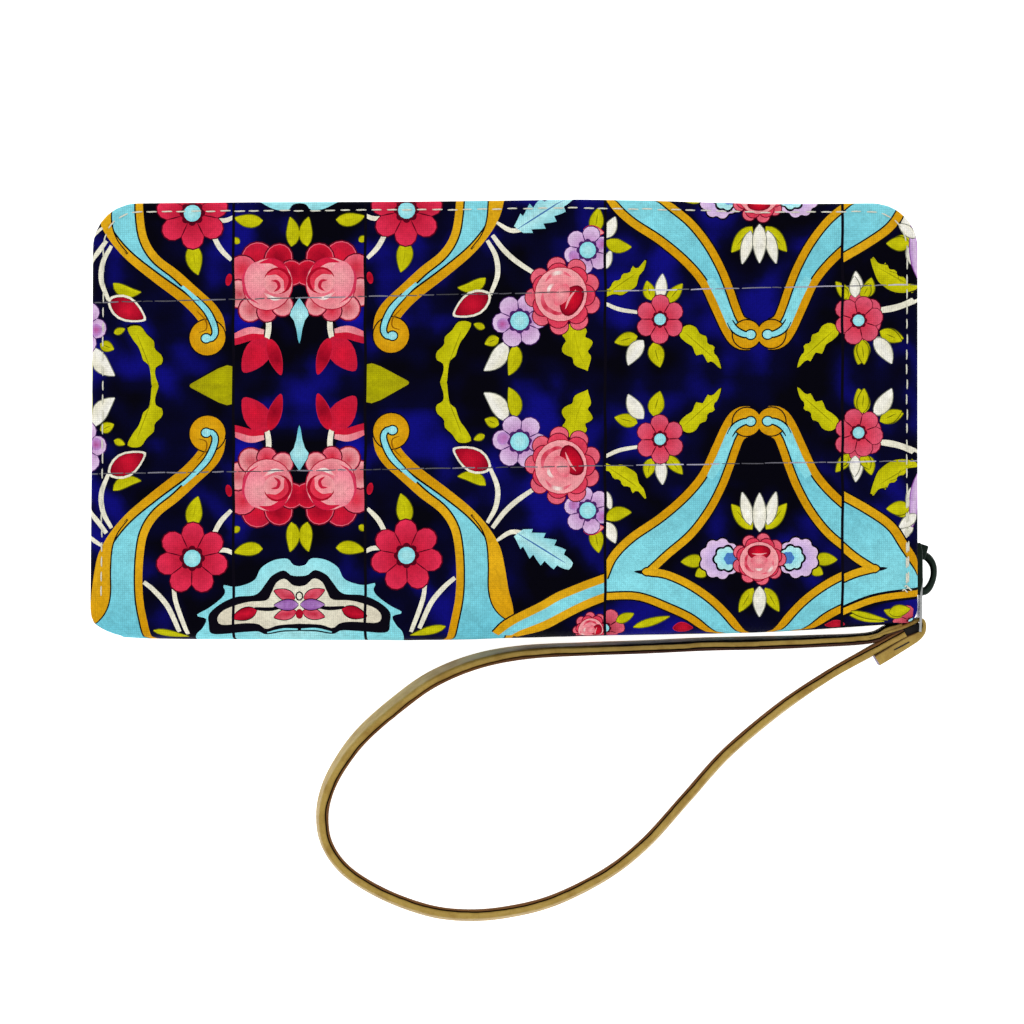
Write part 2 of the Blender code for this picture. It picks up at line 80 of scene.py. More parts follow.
INK, NAVY, COBALT = (2, 1, 10), (3, 3, 40), (12, 10, 116)
OUTLINE = (8, 5, 16)
CYAN, CYAN_DEEP, CYAN_PALE = (132, 212, 222), (98, 186, 204), (176, 228, 230)
GOLD, GOLD_DEEP, GOLD_LIGHT = (204, 146, 8), (140, 88, 4), (218, 166, 24)
LEAF, LEAF_DEEP, LEAF_LIGHT = (176, 172, 4), (84, 84, 4), (198, 194, 14)
RED, RED_DEEP, RED_LIGHT = (204, 20, 48), (134, 2, 28), (220, 62, 88)
PINK, PINK_PALE, PINK_DEEP = (224, 96, 116), (236, 160, 164), (190, 26, 56)
LILAC, PURPLE, LILAC_PALE = (182, 138, 202), (130, 66, 150), (216, 188, 222)
CREAM, WHITE = (228, 224, 204), (238, 236, 228)


class Nodes:
    """Short calls for building a material's node tree."""

    def __init__(self, name):
        self.material = bpy.data.materials.new(name)
        self.material.use_nodes = True
        self.tree = self.material.node_tree
        self.shader = self.tree.nodes["Principled BSDF"]

    def new(self, kind, **settings):
        node = self.tree.nodes.new(kind)
        for key, value in settings.items():
            if key in node.inputs:
                node.inputs[key].default_value = value
            else:
                setattr(node, key, value)
        return node

    def link(self, output, socket):
        self.tree.links.new(output, socket)

    def set(self, **values):
        for key, value in values.items():
            self.shader.inputs[key.replace("_", " ")].default_value = value

    def position(self):
        return self.new("ShaderNodeTexCoord").outputs["Object"]

    def noise(self, scale, detail=3.0, roughness=0.55, vector=None):
        node = self.new("ShaderNodeTexNoise", Scale=scale, Detail=detail, Roughness=roughness)
        self.link(vector or self.position(), node.inputs["Vector"])
        return node.outputs["Fac"]

    def math(self, operation, a, b=None, c=None):
        node = self.new("ShaderNodeMath", operation=operation)
        for socket, value in zip(node.inputs, (a, b, c)):
            if value is None:
                continue
            if isinstance(value, (int, float)):
                socket.default_value = value
            else:
                self.link(value, socket)
        return node.outputs[0]

    def ramp(self, value, stops):
        node = self.new("ShaderNodeValToRGB")
        elements = node.color_ramp.elements
        while len(elements) < len(stops):
            elements.new(0.5)
        for element, (place, colour) in zip(elements, stops):
            element.position = place
            element.color = (*colour, 1) if len(colour) == 3 else colour
        self.link(value, node.inputs["Fac"])
        return node.outputs["Color"]

    def mix(self, factor, a, b, blend="MIX"):
        node = self.new("ShaderNodeMix", data_type="RGBA", blend_type=blend)
        for socket, value in ((node.inputs[0], factor), (node.inputs[6], a), (node.inputs[7], b)):
            if isinstance(value, (int, float)):
                socket.default_value = value
            elif isinstance(value, (tuple, list, np.ndarray)):
                socket.default_value = (*[float(v) for v in value][:3], 1)
            else:
                self.link(value, socket)
        return node.outputs[2]

    def bump(self, height, strength, distance=0.0001):
        node = self.new("ShaderNodeBump", Strength=strength, Distance=distance)
        self.link(height, node.inputs["Height"])
        self.link(node.outputs["Normal"], self.shader.inputs["Normal"])

    def colour(self, output):
        self.link(output, self.shader.inputs["Base Color"])


def weave(nodes, pitch, vector=None):
    """A plain weave's height: threads over and under each other, pitch metres apart."""
    split = nodes.new("ShaderNodeSeparateXYZ")
    nodes.link(vector or nodes.position(), split.inputs[0])
    turn = math.pi / pitch
    across = nodes.math("SINE", nodes.math("MULTIPLY", split.outputs[0], turn))
    along = nodes.math("SINE", nodes.math("MULTIPLY", split.outputs[1], turn))
    return nodes.math("ABSOLUTE", nodes.math("MULTIPLY", across, along))


def print_material():
    """Printed canvas: the print comes from the mesh's colours, the threads and worn dye from nodes."""
    n = Nodes("printed_cloth")
    dye = n.new("ShaderNodeAttribute", attribute_name="print").outputs["Color"]
    threads = weave(n, 0.00046)
    speck = n.noise(1500, 3, 0.7)
    blotch = n.noise(190, 4, 0.6)
    lift = n.math("ADD", n.math("MULTIPLY", threads, 0.26), n.math("MULTIPLY", speck, 0.62))
    lift = n.math("ADD", lift, n.math("MULTIPLY", blotch, 0.34))
    lift = n.math("ADD", lift, 0.38)
    shade = n.new("ShaderNodeCombineXYZ")
    for socket in shade.inputs:
        n.link(lift, socket)
    n.colour(n.mix(1.0, dye, shade.outputs[0], "MULTIPLY"))
    n.set(Roughness=0.85, Specular_IOR_Level=0.04)
    n.bump(n.math("ADD", threads, n.math("MULTIPLY", speck, 0.8)), 0.4, 0.00012)
    return n.material


def thread_material(name, colour):
    """Twisted sewing thread."""
    n = Nodes(name)
    fuzz = n.noise(4000, 3)
    n.colour(n.ramp(fuzz, ((0.3, linear(colour) * 0.62), (0.7, linear(colour)))))
    n.set(Roughness=0.7, Specular_IOR_Level=0.3, Sheen_Weight=0.2)
    n.bump(fuzz, 0.5, 0.00008)
    return n.material


def leather_material(name, attribute):
    """Smooth leather: the ply's colour from the mesh, with grain, streaks and darker handled patches."""
    n = Nodes(name)
    base = n.new("ShaderNodeAttribute", attribute_name=attribute).outputs["Color"]
    streak = n.noise(220, 5, 0.6)
    fibre = n.noise(2600, 4)
    tone = n.ramp(streak, ((0.30, (0.72, 0.64, 0.50)), (0.55, (1, 1, 1)), (0.78, (1.0, 1.0, 0.92))))
    grain = n.ramp(fibre, ((0.35, (0.86, 0.86, 0.84)), (0.65, (1, 1, 1))))
    n.colour(n.mix(1.0, n.mix(1.0, base, tone, "MULTIPLY"), grain, "MULTIPLY"))
    rough = n.ramp(streak, ((0.3, (0.62, 0.62, 0.62)), (0.7, (0.46, 0.46, 0.46))))
    n.link(rough, n.shader.inputs["Roughness"])
    n.set(Specular_IOR_Level=0.22)
    n.bump(n.math("ADD", fibre, streak), 0.35, 0.00012)
    return n.material


def metal_material(name, colour, roughness, metallic=1.0):
    """Plated metal with fine scratches and uneven polish."""
    n = Nodes(name)
    wear = n.noise(600, 4)
    n.colour(n.ramp(wear, ((0.3, linear(colour) * 0.72), (0.7, linear(colour)))))
    rough = n.ramp(wear, ((0.25, (roughness * 1.5,) * 3), (0.75, (roughness,) * 3)))
    n.link(rough, n.shader.inputs["Roughness"])
    n.set(Metallic=metallic)
    n.bump(n.noise(3000, 2), 0.12, 0.00005)
    return n.material


# ---------------------------------------------------------------- camera, light and floor

def camera():
    """Straight above, a little towards the strap."""
    data = bpy.data.cameras.new("camera")
    obj = bpy.data.objects.new("camera", data)
    bpy.context.scene.collection.objects.link(obj)
    distance, frame_width = 1.30, 0.2409
    obj.location = (0.0019, -0.0220, THICK + distance)
    data.lens = data.sensor_width * distance / frame_width
    data.clip_start, data.clip_end = 0.01, 20
    bpy.context.scene.camera = obj


def area_light(name, place, target, size, power, colour=(1, 1, 1)):
    data = bpy.data.lights.new(name, "AREA")
    data.size = size
    data.energy = power
    data.color = colour
    obj = bpy.data.objects.new(name, data)
    obj.location = place
    obj.rotation_euler = (Vector(target) - Vector(place)).to_track_quat("-Z", "Y").to_euler()
    bpy.context.scene.collection.objects.link(obj)


def studio():
    """A white sweep under soft, even light."""
    world = bpy.data.worlds.new("studio")
    world.use_nodes = True
    world.node_tree.nodes["Background"].inputs["Color"].default_value = (1, 1, 1, 1)
    world.node_tree.nodes["Background"].inputs["Strength"].default_value = 0.62
    bpy.context.scene.world = world
    area_light("key", (-0.50, 0.50, 1.0), (0, -0.02, 0), 0.9, 5.6)
    area_light("fill", (0.75, -0.25, 0.90), (0, -0.02, 0), 0.9, 2.6)
    area_light("low", (0.15, -0.95, 0.60), (0, -0.02, 0), 0.6, 1.4)
    work = bmesh.new()
    bmesh.ops.create_grid(work, x_segments=8, y_segments=8, size=1.6)
    mesh = bpy.data.meshes.new("floor")
    work.to_mesh(mesh)
    work.free()
    floor = bpy.data.objects.new("floor", mesh)
    bpy.context.scene.collection.objects.link(floor)
    floor.location.z = -0.0002
    n = Nodes("floor")
    n.colour(n.ramp(n.noise(4, 2), ((0.3, (0.93, 0.93, 0.93)), (0.7, (0.95, 0.95, 0.95)))))
    n.set(Roughness=0.9, Specular_IOR_Level=0.1)
    n.set(Emission_Color=(1, 1, 1, 1), Emission_Strength=0.85)
    mesh.materials.append(n.material)
    view = bpy.context.scene.view_settings
    view.view_transform = "Standard"
    view.look = "None"


# ---------------------------------------------------------------- curves and outlines (millimetres)

def lengths(line):
    """The distance along a line at each of its points."""
    return np.concatenate([[0], np.cumsum(np.linalg.norm(np.diff(line, axis=0), axis=1))])


def points_at(line, wanted):
    """The points that lie at given distances along a line."""
    along = lengths(line)
    return np.stack([np.interp(wanted, along, column) for column in line.T], axis=1)


def ease(t):
    """From 0 to 1 with a soft start and a soft end."""
    return t * t * (3 - 2 * t)


def spline(points, step=0.7, closed=False):
    """Evenly spaced points on a Catmull-Rom curve through the given ones."""
    p = np.array(points, float)
    if closed:
        ends = np.vstack([p[-1], p, p[0], p[1]])
    else:
        ends = np.vstack([2 * p[0] - p[1], p, 2 * p[-1] - p[-2]])
    t = np.arange(0, 1, 1 / 12)[:, None]
    fine = [
        0.5 * (2 * b + (c - a) * t + (2 * a - 5 * b + 4 * c - d) * t**2 + (3 * b - a - 3 * c + d) * t**3)
        for a, b, c, d in zip(ends, ends[1:], ends[2:], ends[3:])
    ]
    fine = np.vstack(fine + [ends[-2][None]])
    whole = lengths(fine)[-1]
    count = max(int(round(whole / step)), 3) + 1
    out = points_at(fine, np.linspace(0, whole, count))
    return out[:-1] if closed else out


def sideways(line):
    """Unit vectors to the left of each point of an open line."""
    ahead = np.gradient(line, axis=0)
    ahead /= np.maximum(np.linalg.norm(ahead, axis=1, keepdims=True), 1e-9)
    return np.stack([-ahead[:, 1], ahead[:, 0]], axis=1)


def stroke(points, width, taper=0.0, step=0.8):
    """The outline of a brush stroke along a line, narrowing towards its ends by taper."""
    line = spline(points, step)
    t = np.linspace(0, 1, len(line))
    half = width / 2 * (1 - taper * np.abs(2 * t - 1) ** 2)[:, None]
    side = sideways(line)
    return np.vstack([line + side * half, (line - side * half)[::-1]])


def inside(points, polygon):
    """Which points lie in a polygon, by the even-odd rule."""
    x, y = points[:, 0], points[:, 1]
    found = np.zeros(len(points), bool)
    for (x0, y0), (x1, y1) in zip(polygon, np.roll(polygon, -1, axis=0)):
        if y0 == y1:
            continue
        crosses = (y0 > y) != (y1 > y)
        found ^= crosses & (x < (x1 - x0) * (y - y0) / (y1 - y0) + x0)
    return found


# ---------------------------------------------------------------- the print
# Motifs are drawn in (a, d): a across from their strip's mirror axis, d up from the print's mirror line.

MIRROR_Y, MIRROR_SLOPE = 8.7, 0.0138
LEFT_AXIS, RIGHT_AXIS = -48.1, 60.0
SEAM_ROSE, SEAM_LEFT, SEAM_RIGHT = 15.5, 71.9, 19.6


class Print:
    """Painted shapes in painter's order, each with its outline, its strip and how it is shaded."""

    def __init__(self):
        self.shapes = []
        self.axis, self.clip, self.mirror = LEFT_AXIS, (-200, 200), True

    def strip(self, axis, low, high, mirror):
        """Shapes that follow belong to the strip between low and high across from its axis."""
        self.axis, self.clip, self.mirror = axis, (low, high), mirror

    def place(self, points, flip_a, flip_d):
        points = np.asarray(points, float)
        x = self.axis + flip_a * points[..., 0]
        y = MIRROR_Y + MIRROR_SLOPE * x + flip_d * points[..., 1]
        return np.stack([x, y], axis=-1)

    def add(self, outline, inner, outer=None, centre=None, radius=1.0, spine=None, sides=(1, -1)):
        """One shape. Its colour runs from inner to outer with distance from centre or the spine line."""
        outline = np.asarray(outline, float)
        for flip_a in (1, -1) if self.mirror else (1,):
            low, high = sorted(self.axis + flip_a * c for c in self.clip)
            for flip_d in sides:
                anchor = None
                if centre is not None:
                    anchor = self.place(np.array([centre, centre]), flip_a, flip_d)
                elif spine is not None:
                    anchor = self.place(np.array(spine), flip_a, flip_d)
                self.shapes.append({
                    "outline": self.place(outline, flip_a, flip_d), "clip": (low, high),
                    "inner": linear(inner), "outer": linear(outer if outer is not None else inner),
                    "anchor": anchor, "radius": radius,
                })


def oval(centre, length, width, angle, count=16, point=0.0, skew=0.0):
    """An oval, or a pointed petal when point is above 0, lying along angle."""
    t = np.linspace(0, 2 * math.pi, count, endpoint=False)
    x = np.cos(t) * length / 2
    y = np.sin(t) * width / 2 * (1 - point * np.cos(t) ** 2) * (1 + skew * np.cos(t))
    c, s = math.cos(angle), math.sin(angle)
    return np.stack([centre[0] + x * c - y * s, centre[1] + x * s + y * c], axis=1)


def lobed(centre, radius, lobes, depth=0.14, phase=0.0, per_lobe=7):
    """A round outline with lobes."""
    t = np.linspace(0, 2 * math.pi, lobes * per_lobe, endpoint=False)
    r = radius * (1 - depth + depth * np.abs(np.cos(lobes * (t - phase) / 2)) ** 0.7 * 1.6)
    return np.stack([centre[0] + r * np.cos(t), centre[1] + r * np.sin(t)], axis=1)


def leaf(p, start, end, width, tones=(LEAF_LIGHT, LEAF, LEAF_DEEP), bend=0.0, ragged=0, vein=True):
    """A leaf from stalk to tip, bent sideways, plain or with a ragged edge."""
    start, end = np.array(start, float), np.array(end, float)
    axis = end - start
    length = np.linalg.norm(axis)
    side = np.array([-axis[1], axis[0]]) / length
    t = np.linspace(0, 1, 9 + 4 * ragged)
    line = start + axis * t[:, None] + side * (bend * length * np.sin(math.pi * t))[:, None]
    half = np.sin(math.pi * t**0.82) ** 0.85 * width / 2
    if ragged:
        half = half * (0.62 + 0.5 * np.abs(np.sin(math.pi * ragged * t)))
    over = half + 0.22
    normal = sideways(line)
    rim = np.vstack([line + normal * over[:, None], (line - normal * over[:, None])[::-1]])
    blade = np.vstack([line + normal * half[:, None], (line - normal * half[:, None])[::-1][1:-1]])
    spine = (tuple(start), tuple(end))
    p.add(rim, tones[2] if not ragged else OUTLINE)
    p.add(blade, tones[0], tones[1], spine=spine, radius=width / 2)
    if vein:
        p.add(stroke(line[2:-2], 0.26, 0.9, 1.2), tones[2], tones[1], spine=spine, radius=0.3)


def white_leaf(p, start, end, width, bend=0.0):
    leaf(p, start, end, width, (WHITE, CREAM, (120, 122, 110)), bend, vein=False)


def rosette(p, centre, radius, petals, tones, heart=(CYAN_PALE, CYAN), phase=0.0, heart_size=0.25):
    """A flat flower of round petals about a pale heart."""
    centre = np.array(centre, float)
    reach, size = radius * 0.60, radius * 4.1 / petals

    def ring(length, width, *shades, fan=radius):
        for k in range(petals):
            angle = phase + 2 * math.pi * k / petals
            spot = centre + np.array([math.cos(angle), math.sin(angle)]) * reach
            p.add(oval(spot, length, width, angle, 14, skew=0.22), *shades, centre=tuple(centre), radius=fan)

    ring(radius * 0.96, size * 1.14, tones[3])
    ring(radius * 0.88, size * 1.06, tones[0], tones[2])
    for k in range(petals):
        angle = phase + 2 * math.pi * (k + 0.5) / petals
        way = np.array([math.cos(angle), math.sin(angle)])
        p.add(stroke([centre + way * radius * 0.3, centre + way * radius * 0.78], 0.3, 0.8, 1.0), tones[3])
    p.add(lobed(centre, radius * (heart_size + 0.09), 8, 0.16), tones[3])
    p.add(oval(centre, 2 * radius * heart_size, 2 * radius * heart_size, 0, 14), *heart,
          centre=tuple(centre), radius=radius * heart_size)


def rose(p, centre, radius, turn=0.0, squash=1.0, cup=0.64):
    """A full rose: ruffled petals round a pale cup, whose red heart faces the way of turn."""
    centre = np.array(centre, float)

    def spot(angle, reach, about=centre):
        return about + np.array([math.cos(angle), math.sin(angle) * squash]) * reach * radius

    def ring(count, reach, size, shift, inner, outer, dark):
        for k in range(count):
            angle = turn + shift + 2 * math.pi * k / count
            at = spot(angle, reach)
            long, wide = radius * size, radius * size * 0.9
            p.add(oval(at, wide + 0.45, long + 0.45, angle, 16), dark)
            p.add(oval(at, wide, long, angle, 16), inner, outer, centre=tuple(spot(angle, reach * 0.72)),
                  radius=radius * size * 0.62)

    ring(9, 0.76, 0.46, 0.2, RED, PINK, (86, 2, 24))
    ring(7, 0.58, 0.52, 0.5, RED_DEEP, RED_LIGHT, (104, 2, 30))
    middle = spot(turn + math.pi, 0.06)
    p.add(oval(middle, 2 * cup * radius + 0.4, (2 * cup * radius + 0.4) * squash, 0, 22), (168, 16, 48))
    p.add(oval(middle, 2 * cup * radius, 2 * cup * radius * squash, 0, 22), PINK, PINK_PALE,
          centre=tuple(middle), radius=cup * radius)
    folds = ((1.5, 1.5, 0.50, 0.10), (3.5, 1.5, 0.46, 0.12), (2.5, 1.3, 0.30, 0.09), (-1.9, 1.0, 0.44, 0.10))
    for k, (first, span, reach, width) in enumerate(folds):
        line = [spot(turn + first + span * u, reach + 0.04 * math.sin(3 * u), middle)
                for u in (0, 0.25, 0.5, 0.75, 1)]
        p.add(stroke(line, radius * width, 0.95, 0.5), PINK_DEEP if k % 2 else WHITE, PINK,
              centre=tuple(line[2]), radius=radius * 0.2)
    heart = spot(turn, 0.24)
    p.add(oval(heart, radius * 0.56, radius * 0.84, turn, 18, 0.0, 0.15), (120, 2, 26))
    p.add(oval(heart, radius * 0.48, radius * 0.76, turn, 18, 0.0, 0.15), (214, 16, 44), RED_DEEP,
          centre=tuple(heart), radius=radius * 0.4)
    p.add(oval(spot(turn + math.pi, 0.02), radius * 0.34, radius * 0.60, turn, 16, 0.0, -0.2), PINK_PALE,
          PINK,
          centre=tuple(spot(turn + math.pi, 0.06)), radius=radius * 0.3)
    p.add(stroke([spot(turn + 0.9, 0.36), spot(turn + 0.1, 0.18), spot(turn - 0.9, 0.34)], radius * 0.06, 0.9,
                 0.4), PINK_PALE)


def bud(p, tail, tip, width, tones=(RED, RED_DEEP), rim=True, point=0.35):
    """A closed bud, with or without a pale rim."""
    tail, tip = np.array(tail, float), np.array(tip, float)
    axis = tip - tail
    angle = math.atan2(axis[1], axis[0])
    length = np.linalg.norm(axis)
    middle = tail + axis * 0.48
    if rim:
        p.add(oval(middle, length + 1.6, width + 1.3, angle, 18, point, -0.25), CREAM)
        p.add(oval(middle, length + 0.3, width + 0.25, angle, 18, point, -0.25), (92, 4, 28))
    else:
        p.add(oval(middle, length + 0.4, width + 0.4, angle, 18, point, -0.25), PINK_DEEP)
    p.add(oval(middle, length, width, angle, 18, point, -0.25), *tones, centre=tuple(tail + axis * 0.5),
          radius=length * 0.5)


def ribbon(p, left, right, border=1.9, swell=0.0, fill=(CYAN, CYAN_DEEP), dark=0.35):
    """A ribbon between two lines, with dark-edged gold borders that swell widens near the start."""
    left, right = spline(left, 1.1), spline(right, 1.1)
    band = np.vstack([left, right[::-1]])
    p.add(band, *fill, centre=tuple(band.mean(axis=0)), radius=26)
    for line, sign in ((left, -1), (right, 1)):
        wider = 1 + swell * (1 - np.linspace(0, 1, len(line))[:, None]) ** 3
        side = sideways(line) * sign
        for inner, outer, tones in (
            (-dark, border + dark, (OUTLINE,)),
            (0, border, (GOLD_LIGHT, GOLD)),
        ):
            edge = np.vstack([line - side * inner, (line + side * outer * wider)[::-1]])
            p.add(edge, *tones, centre=tuple(line[len(line) // 2]), radius=20)


def gold_line(p, points, width=1.8, dark=0.35, sides=(1, -1)):
    """A gold border with dark edges, along a line."""
    p.add(stroke(points, width + 2 * dark, 0.0, 1.1), OUTLINE, sides=sides)
    p.add(stroke(points, width, 0.0, 1.1), GOLD_LIGHT, GOLD, centre=tuple(points[0]), radius=24, sides=sides)


def notch(p, tip, upper, lower, width=1.7, dark_between=False):
    """Two gold borders that meet in a point, with a dark drop beyond it."""
    tip = np.array(tip, float)
    facing = np.sign(tip[0] - upper[0][0])
    lines = [spline([tip] + list(upper), 1.1), spline([tip] + list(lower), 1.1)]
    if dark_between:
        p.add(np.vstack([lines[0], lines[1][::-1]]), (10, 9, 40))
    p.add(stroke([tip, tip + [1.6 * facing, 0.1], tip + [3.6 * facing, -0.1]], 0.9, 0.9, 0.5), OUTLINE)
    for grow, tones in ((0.7, (OUTLINE,)), (0, (GOLD_LIGHT, GOLD))):
        for line in lines:
            p.add(stroke(line, width + grow, 0.0, 1.1), *tones, centre=tuple(tip), radius=24)
        p.add(oval(tip + [0.5 * facing, 0], 2.4 + grow, width + grow, 0, 14, 0.3), *tones, centre=tuple(tip),
              radius=24)


def hook(p, centre, radius, stem, ball):
    """A ribbon's end, where gold borders curl round the last of the blue, whose line in is the stem."""
    p.add(oval(centre, 2 * radius + 0.6, 2 * radius + 0.6, 0, 24), OUTLINE)
    p.add(oval(centre, 2 * radius, 2 * radius, 0, 24), GOLD_LIGHT, GOLD, centre=centre, radius=radius)
    p.add(stroke(stem[1:], 2.0, 0.2, 0.7), OUTLINE)
    p.add(oval(stem[-1], 2 * ball + 0.6, 2 * ball + 0.4, 0, 14), OUTLINE)
    line = spline(stem, 0.7)
    half = sideways(line) * (0.3 + 0.35 * np.sin(np.linspace(0.1, 2.6, len(line))))[:, None]
    p.add(np.vstack([line + half, (line - half)[::-1]]), CYAN)
    p.add(oval(stem[-1], 2 * ball, 1.8 * ball, 0, 14), CYAN_PALE, CYAN, centre=tuple(stem[-1]), radius=ball)


RAGGED_LONG = ((40.4, 13.8), (39.1, 11.0), (37.9, 9.4), (37.1, 7.4), (36.7, 6.1), (35.5, 5.1), (35.0, 3.1),
               (34.6, -0.2), (33.1, -0.2), (33.9, 2.7), (33.7, 4.5), (32.3, 5.3), (32.3, 7.1), (34.0, 8.8),
               (34.2, 10.6), (35.9, 12.2), (37.5, 14.2))
RAGGED_POINTED = ((-18.7, 10.2), (-17.1, 8.5), (-15.7, 7.6), (-14.8, 5.5), (-13.3, 5.8), (-12.1, 3.8),
                  (-11.0, 4.0), (-9.0, 2.2), (-9.7, 4.9), (-10.7, 6.1), (-10.5, 7.6), (-12.1, 8.2),
                  (-12.4, 9.9), (-13.9, 10.5), (-14.8, 12.0), (-16.5, 12.7), (-18.0, 12.0))
RAGGED_HANGING = ((-36.6, 19.4), (-34.2, 20.2), (-32.4, 19.9), (-30.7, 20.8), (-28.9, 22.0), (-28.3, 24.3),
                  (-27.1, 25.8), (-26.6, 28.3), (-28.6, 26.1), (-29.8, 26.7), (-30.4, 25.2), (-32.1, 24.9),
                  (-32.7, 23.5), (-34.2, 23.2), (-35.1, 21.6), (-36.6, 21.0))
RAGGED_EDGE = ((37.6, 20.6), (34.3, 19.6), (31.4, 19.9), (29.0, 21.4), (27.6, 23.1), (26.2, 27.8),
               (28.4, 26.4), (30.2, 26.1), (30.8, 24.6), (32.5, 24.0), (33.4, 22.0), (37.6, 21.4))


def ragged(p, outline, spine):
    """A jagged leaf with a dark rim and a faint mottled middle."""
    shape = spline(outline, 0.8, closed=True)
    middle = shape.mean(axis=0)
    p.add(middle + (shape - middle) * 1.07, OUTLINE)
    p.add(shape, LEAF_LIGHT, LEAF, spine=spine, radius=3.0)
    p.add(stroke([spine[0], (np.array(spine[0]) + spine[1]) / 2, spine[1]], 0.24, 0.8, 1.2), (150, 146, 4))


def feather(p, root, tip, width, lobes=5):
    """A pale blue feathery leaf."""
    root, tip = np.array(root, float), np.array(tip, float)
    axis = tip - root
    length = np.linalg.norm(axis)
    side = np.array([-axis[1], axis[0]]) / length
    t = np.linspace(0, 1, lobes * 4 + 1)
    saw = 0.55 + 0.45 * ((t * lobes) % 1)
    half = width / 2 * np.sin(math.pi * np.clip(t * 0.9 + 0.1, 0, 1)) ** 0.7 * saw
    shift = length * 0.05 * ((t * lobes) % 1)
    left = root + axis * t[:, None] + side * half[:, None] + axis / length * shift[:, None]
    right = root + axis * t[:, None] - side * half[:, None] + axis / length * shift[:, None]
    outline = np.vstack([left, right[::-1][1:-1]])
    p.add(outline, CYAN_PALE, CYAN_DEEP, spine=(tuple(root), tuple(tip)), radius=width * 0.6)
    p.add(stroke([root, root + axis * 0.5, tip - axis * 0.1], 0.35, 0.8, 1.2), (60, 110, 170))


def rose_strip(p):
    """The strip with paired roses, between the first two tile joints."""
    p.strip(LEFT_AXIS, -0.01, SEAM_ROSE, True)
    p.add(oval((12.6, 15.6), 8.8, 7.8, 0, 14), (16, 14, 156), NAVY, centre=(13.2, 15.4), radius=5.2)
    p.add(stroke([(7.4, 17.0), (7.2, 13.4), (7.8, 9.8)], 1.3, 0.2), CREAM)
    leaf(p, (1.9, 32.4), (2.2, 39.4), 3.0, bend=0.08)
    leaf(p, (8.6, 38.6), (15.4, 39.4), 3.0, bend=-0.06)
    leaf(p, (14.0, 33.4), (15.8, 34.6), 1.4, vein=False)
    for tail, tip, width, tones in (
        ((7.6, 10.6), (13.2, 3.0), 5.6, (RED, PINK_DEEP)), ((7.0, 10.4), (4.3, 2.2), 2.9, (RED_DEEP, RED)),
    ):
        bud(p, tail, tip, width, tones, rim=False, point=0.2)
    p.add(stroke([(8.3, 11.6), (11.6, 11.4), (15.4, 10.0)], 2.0, 0.35, 0.6), RED, PINK_DEEP, centre=(9, 11),
          radius=7)
    p.add(stroke([(8.3, 12.4), (11.6, 12.8), (15.6, 11.4)], 1.6, 0.35, 0.6), PINK_PALE, PINK, centre=(9, 12),
          radius=7)
    p.add(oval((15.8, 25.2), 1.4, 3.2, 0, 12), RED, RED_DEEP, centre=(15.8, 25.2), radius=1.5)
    for at, length, width, angle, inner, outer in (
        ((9.8, 29.8), 7.4, 7.4, 1.1, RED, PINK_DEEP), ((4.9, 29.6), 7.0, 6.4, 2.0, RED_DEEP, RED),
        ((13.4, 27.2), 6.6, 6.4, 0.2, RED, PINK), ((1.8, 26.2), 5.6, 6.0, 2.6, (150, 4, 34), RED),
        ((14.2, 21.4), 6.0, 6.8, -0.4, PINK_DEEP, PINK_PALE),
        ((11.4, 17.8), 6.0, 5.6, -1.0, PINK_DEEP, PINK_PALE),
        ((7.6, 17.2), 4.8, 4.6, -1.6, RED, PINK), ((4.0, 18.6), 5.2, 5.0, -2.2, PINK_DEEP, PINK_PALE),
    ):
        p.add(oval(at, length + 0.6, width + 0.6, angle, 16), (92, 2, 26))
        p.add(oval(at, length, width, angle, 16), PINK)
        p.add(oval(at, length - 0.4, width - 0.4, angle, 16), inner, outer, centre=at, radius=length / 2)
    p.add(oval((7.4, 23.6), 12.0, 12.6, 0.3, 24), (176, 22, 54))
    p.add(oval((7.4, 23.6), 11.5, 12.1, 0.3, 24), PINK, PINK_PALE, centre=(6.2, 22.0), radius=6.6)
    p.add(oval((10.2, 24.6), 5.6, 8.6, 0.1, 18), PINK_PALE, (232, 130, 146), centre=(9.6, 25.0), radius=4.2)
    p.add(stroke([(12.4, 27.8), (13.2, 24.6), (12.2, 21.0), (9.6, 19.0)], 0.7, 0.9, 0.6), (206, 50, 84))
    p.add(stroke([(9.4, 28.6), (6.4, 29.0), (3.6, 27.2), (2.4, 24.2)], 1.5, 0.9, 0.6), (206, 26, 60))
    p.add(oval((5.0, 24.4), 6.6, 6.2, 0.4, 18), (168, 6, 36))
    p.add(oval((5.6, 23.9), 5.6, 5.2, 0.4, 18), (232, 120, 132), PINK_PALE, centre=(5.6, 23.6), radius=3)
    p.add(stroke([(7.6, 25.8), (5.2, 26.4), (3.2, 24.8), (3.4, 22.2)], 1.4, 0.8, 0.5), RED, (224, 60, 84),
          centre=(5, 25), radius=3)
    p.add(stroke([(6.6, 24.4), (5.2, 24.2), (4.8, 22.8), (6.0, 21.8)], 0.8, 0.9, 0.4), PINK_DEEP)
    p.add(stroke([(8.4, 21.6), (6.0, 20.2), (3.6, 20.4)], 0.9, 0.9, 0.4), WHITE, PINK_PALE, centre=(6, 20.4),
          radius=2)
    pendant = [(0, 20.4), (1.9, 17.4), (2.2, 16.2), (1.3, 15.0), (0.7, 13.0), (0.3, 10.4), (0.0, 9.6)]
    pendant = np.array(pendant + [(-a, d) for a, d in pendant[-2:0:-1]])
    p.add(pendant * 1.06 + np.array([0, -0.9]), OUTLINE)
    p.add(pendant, CYAN_PALE, CYAN_DEEP, centre=(0, 16), radius=5)


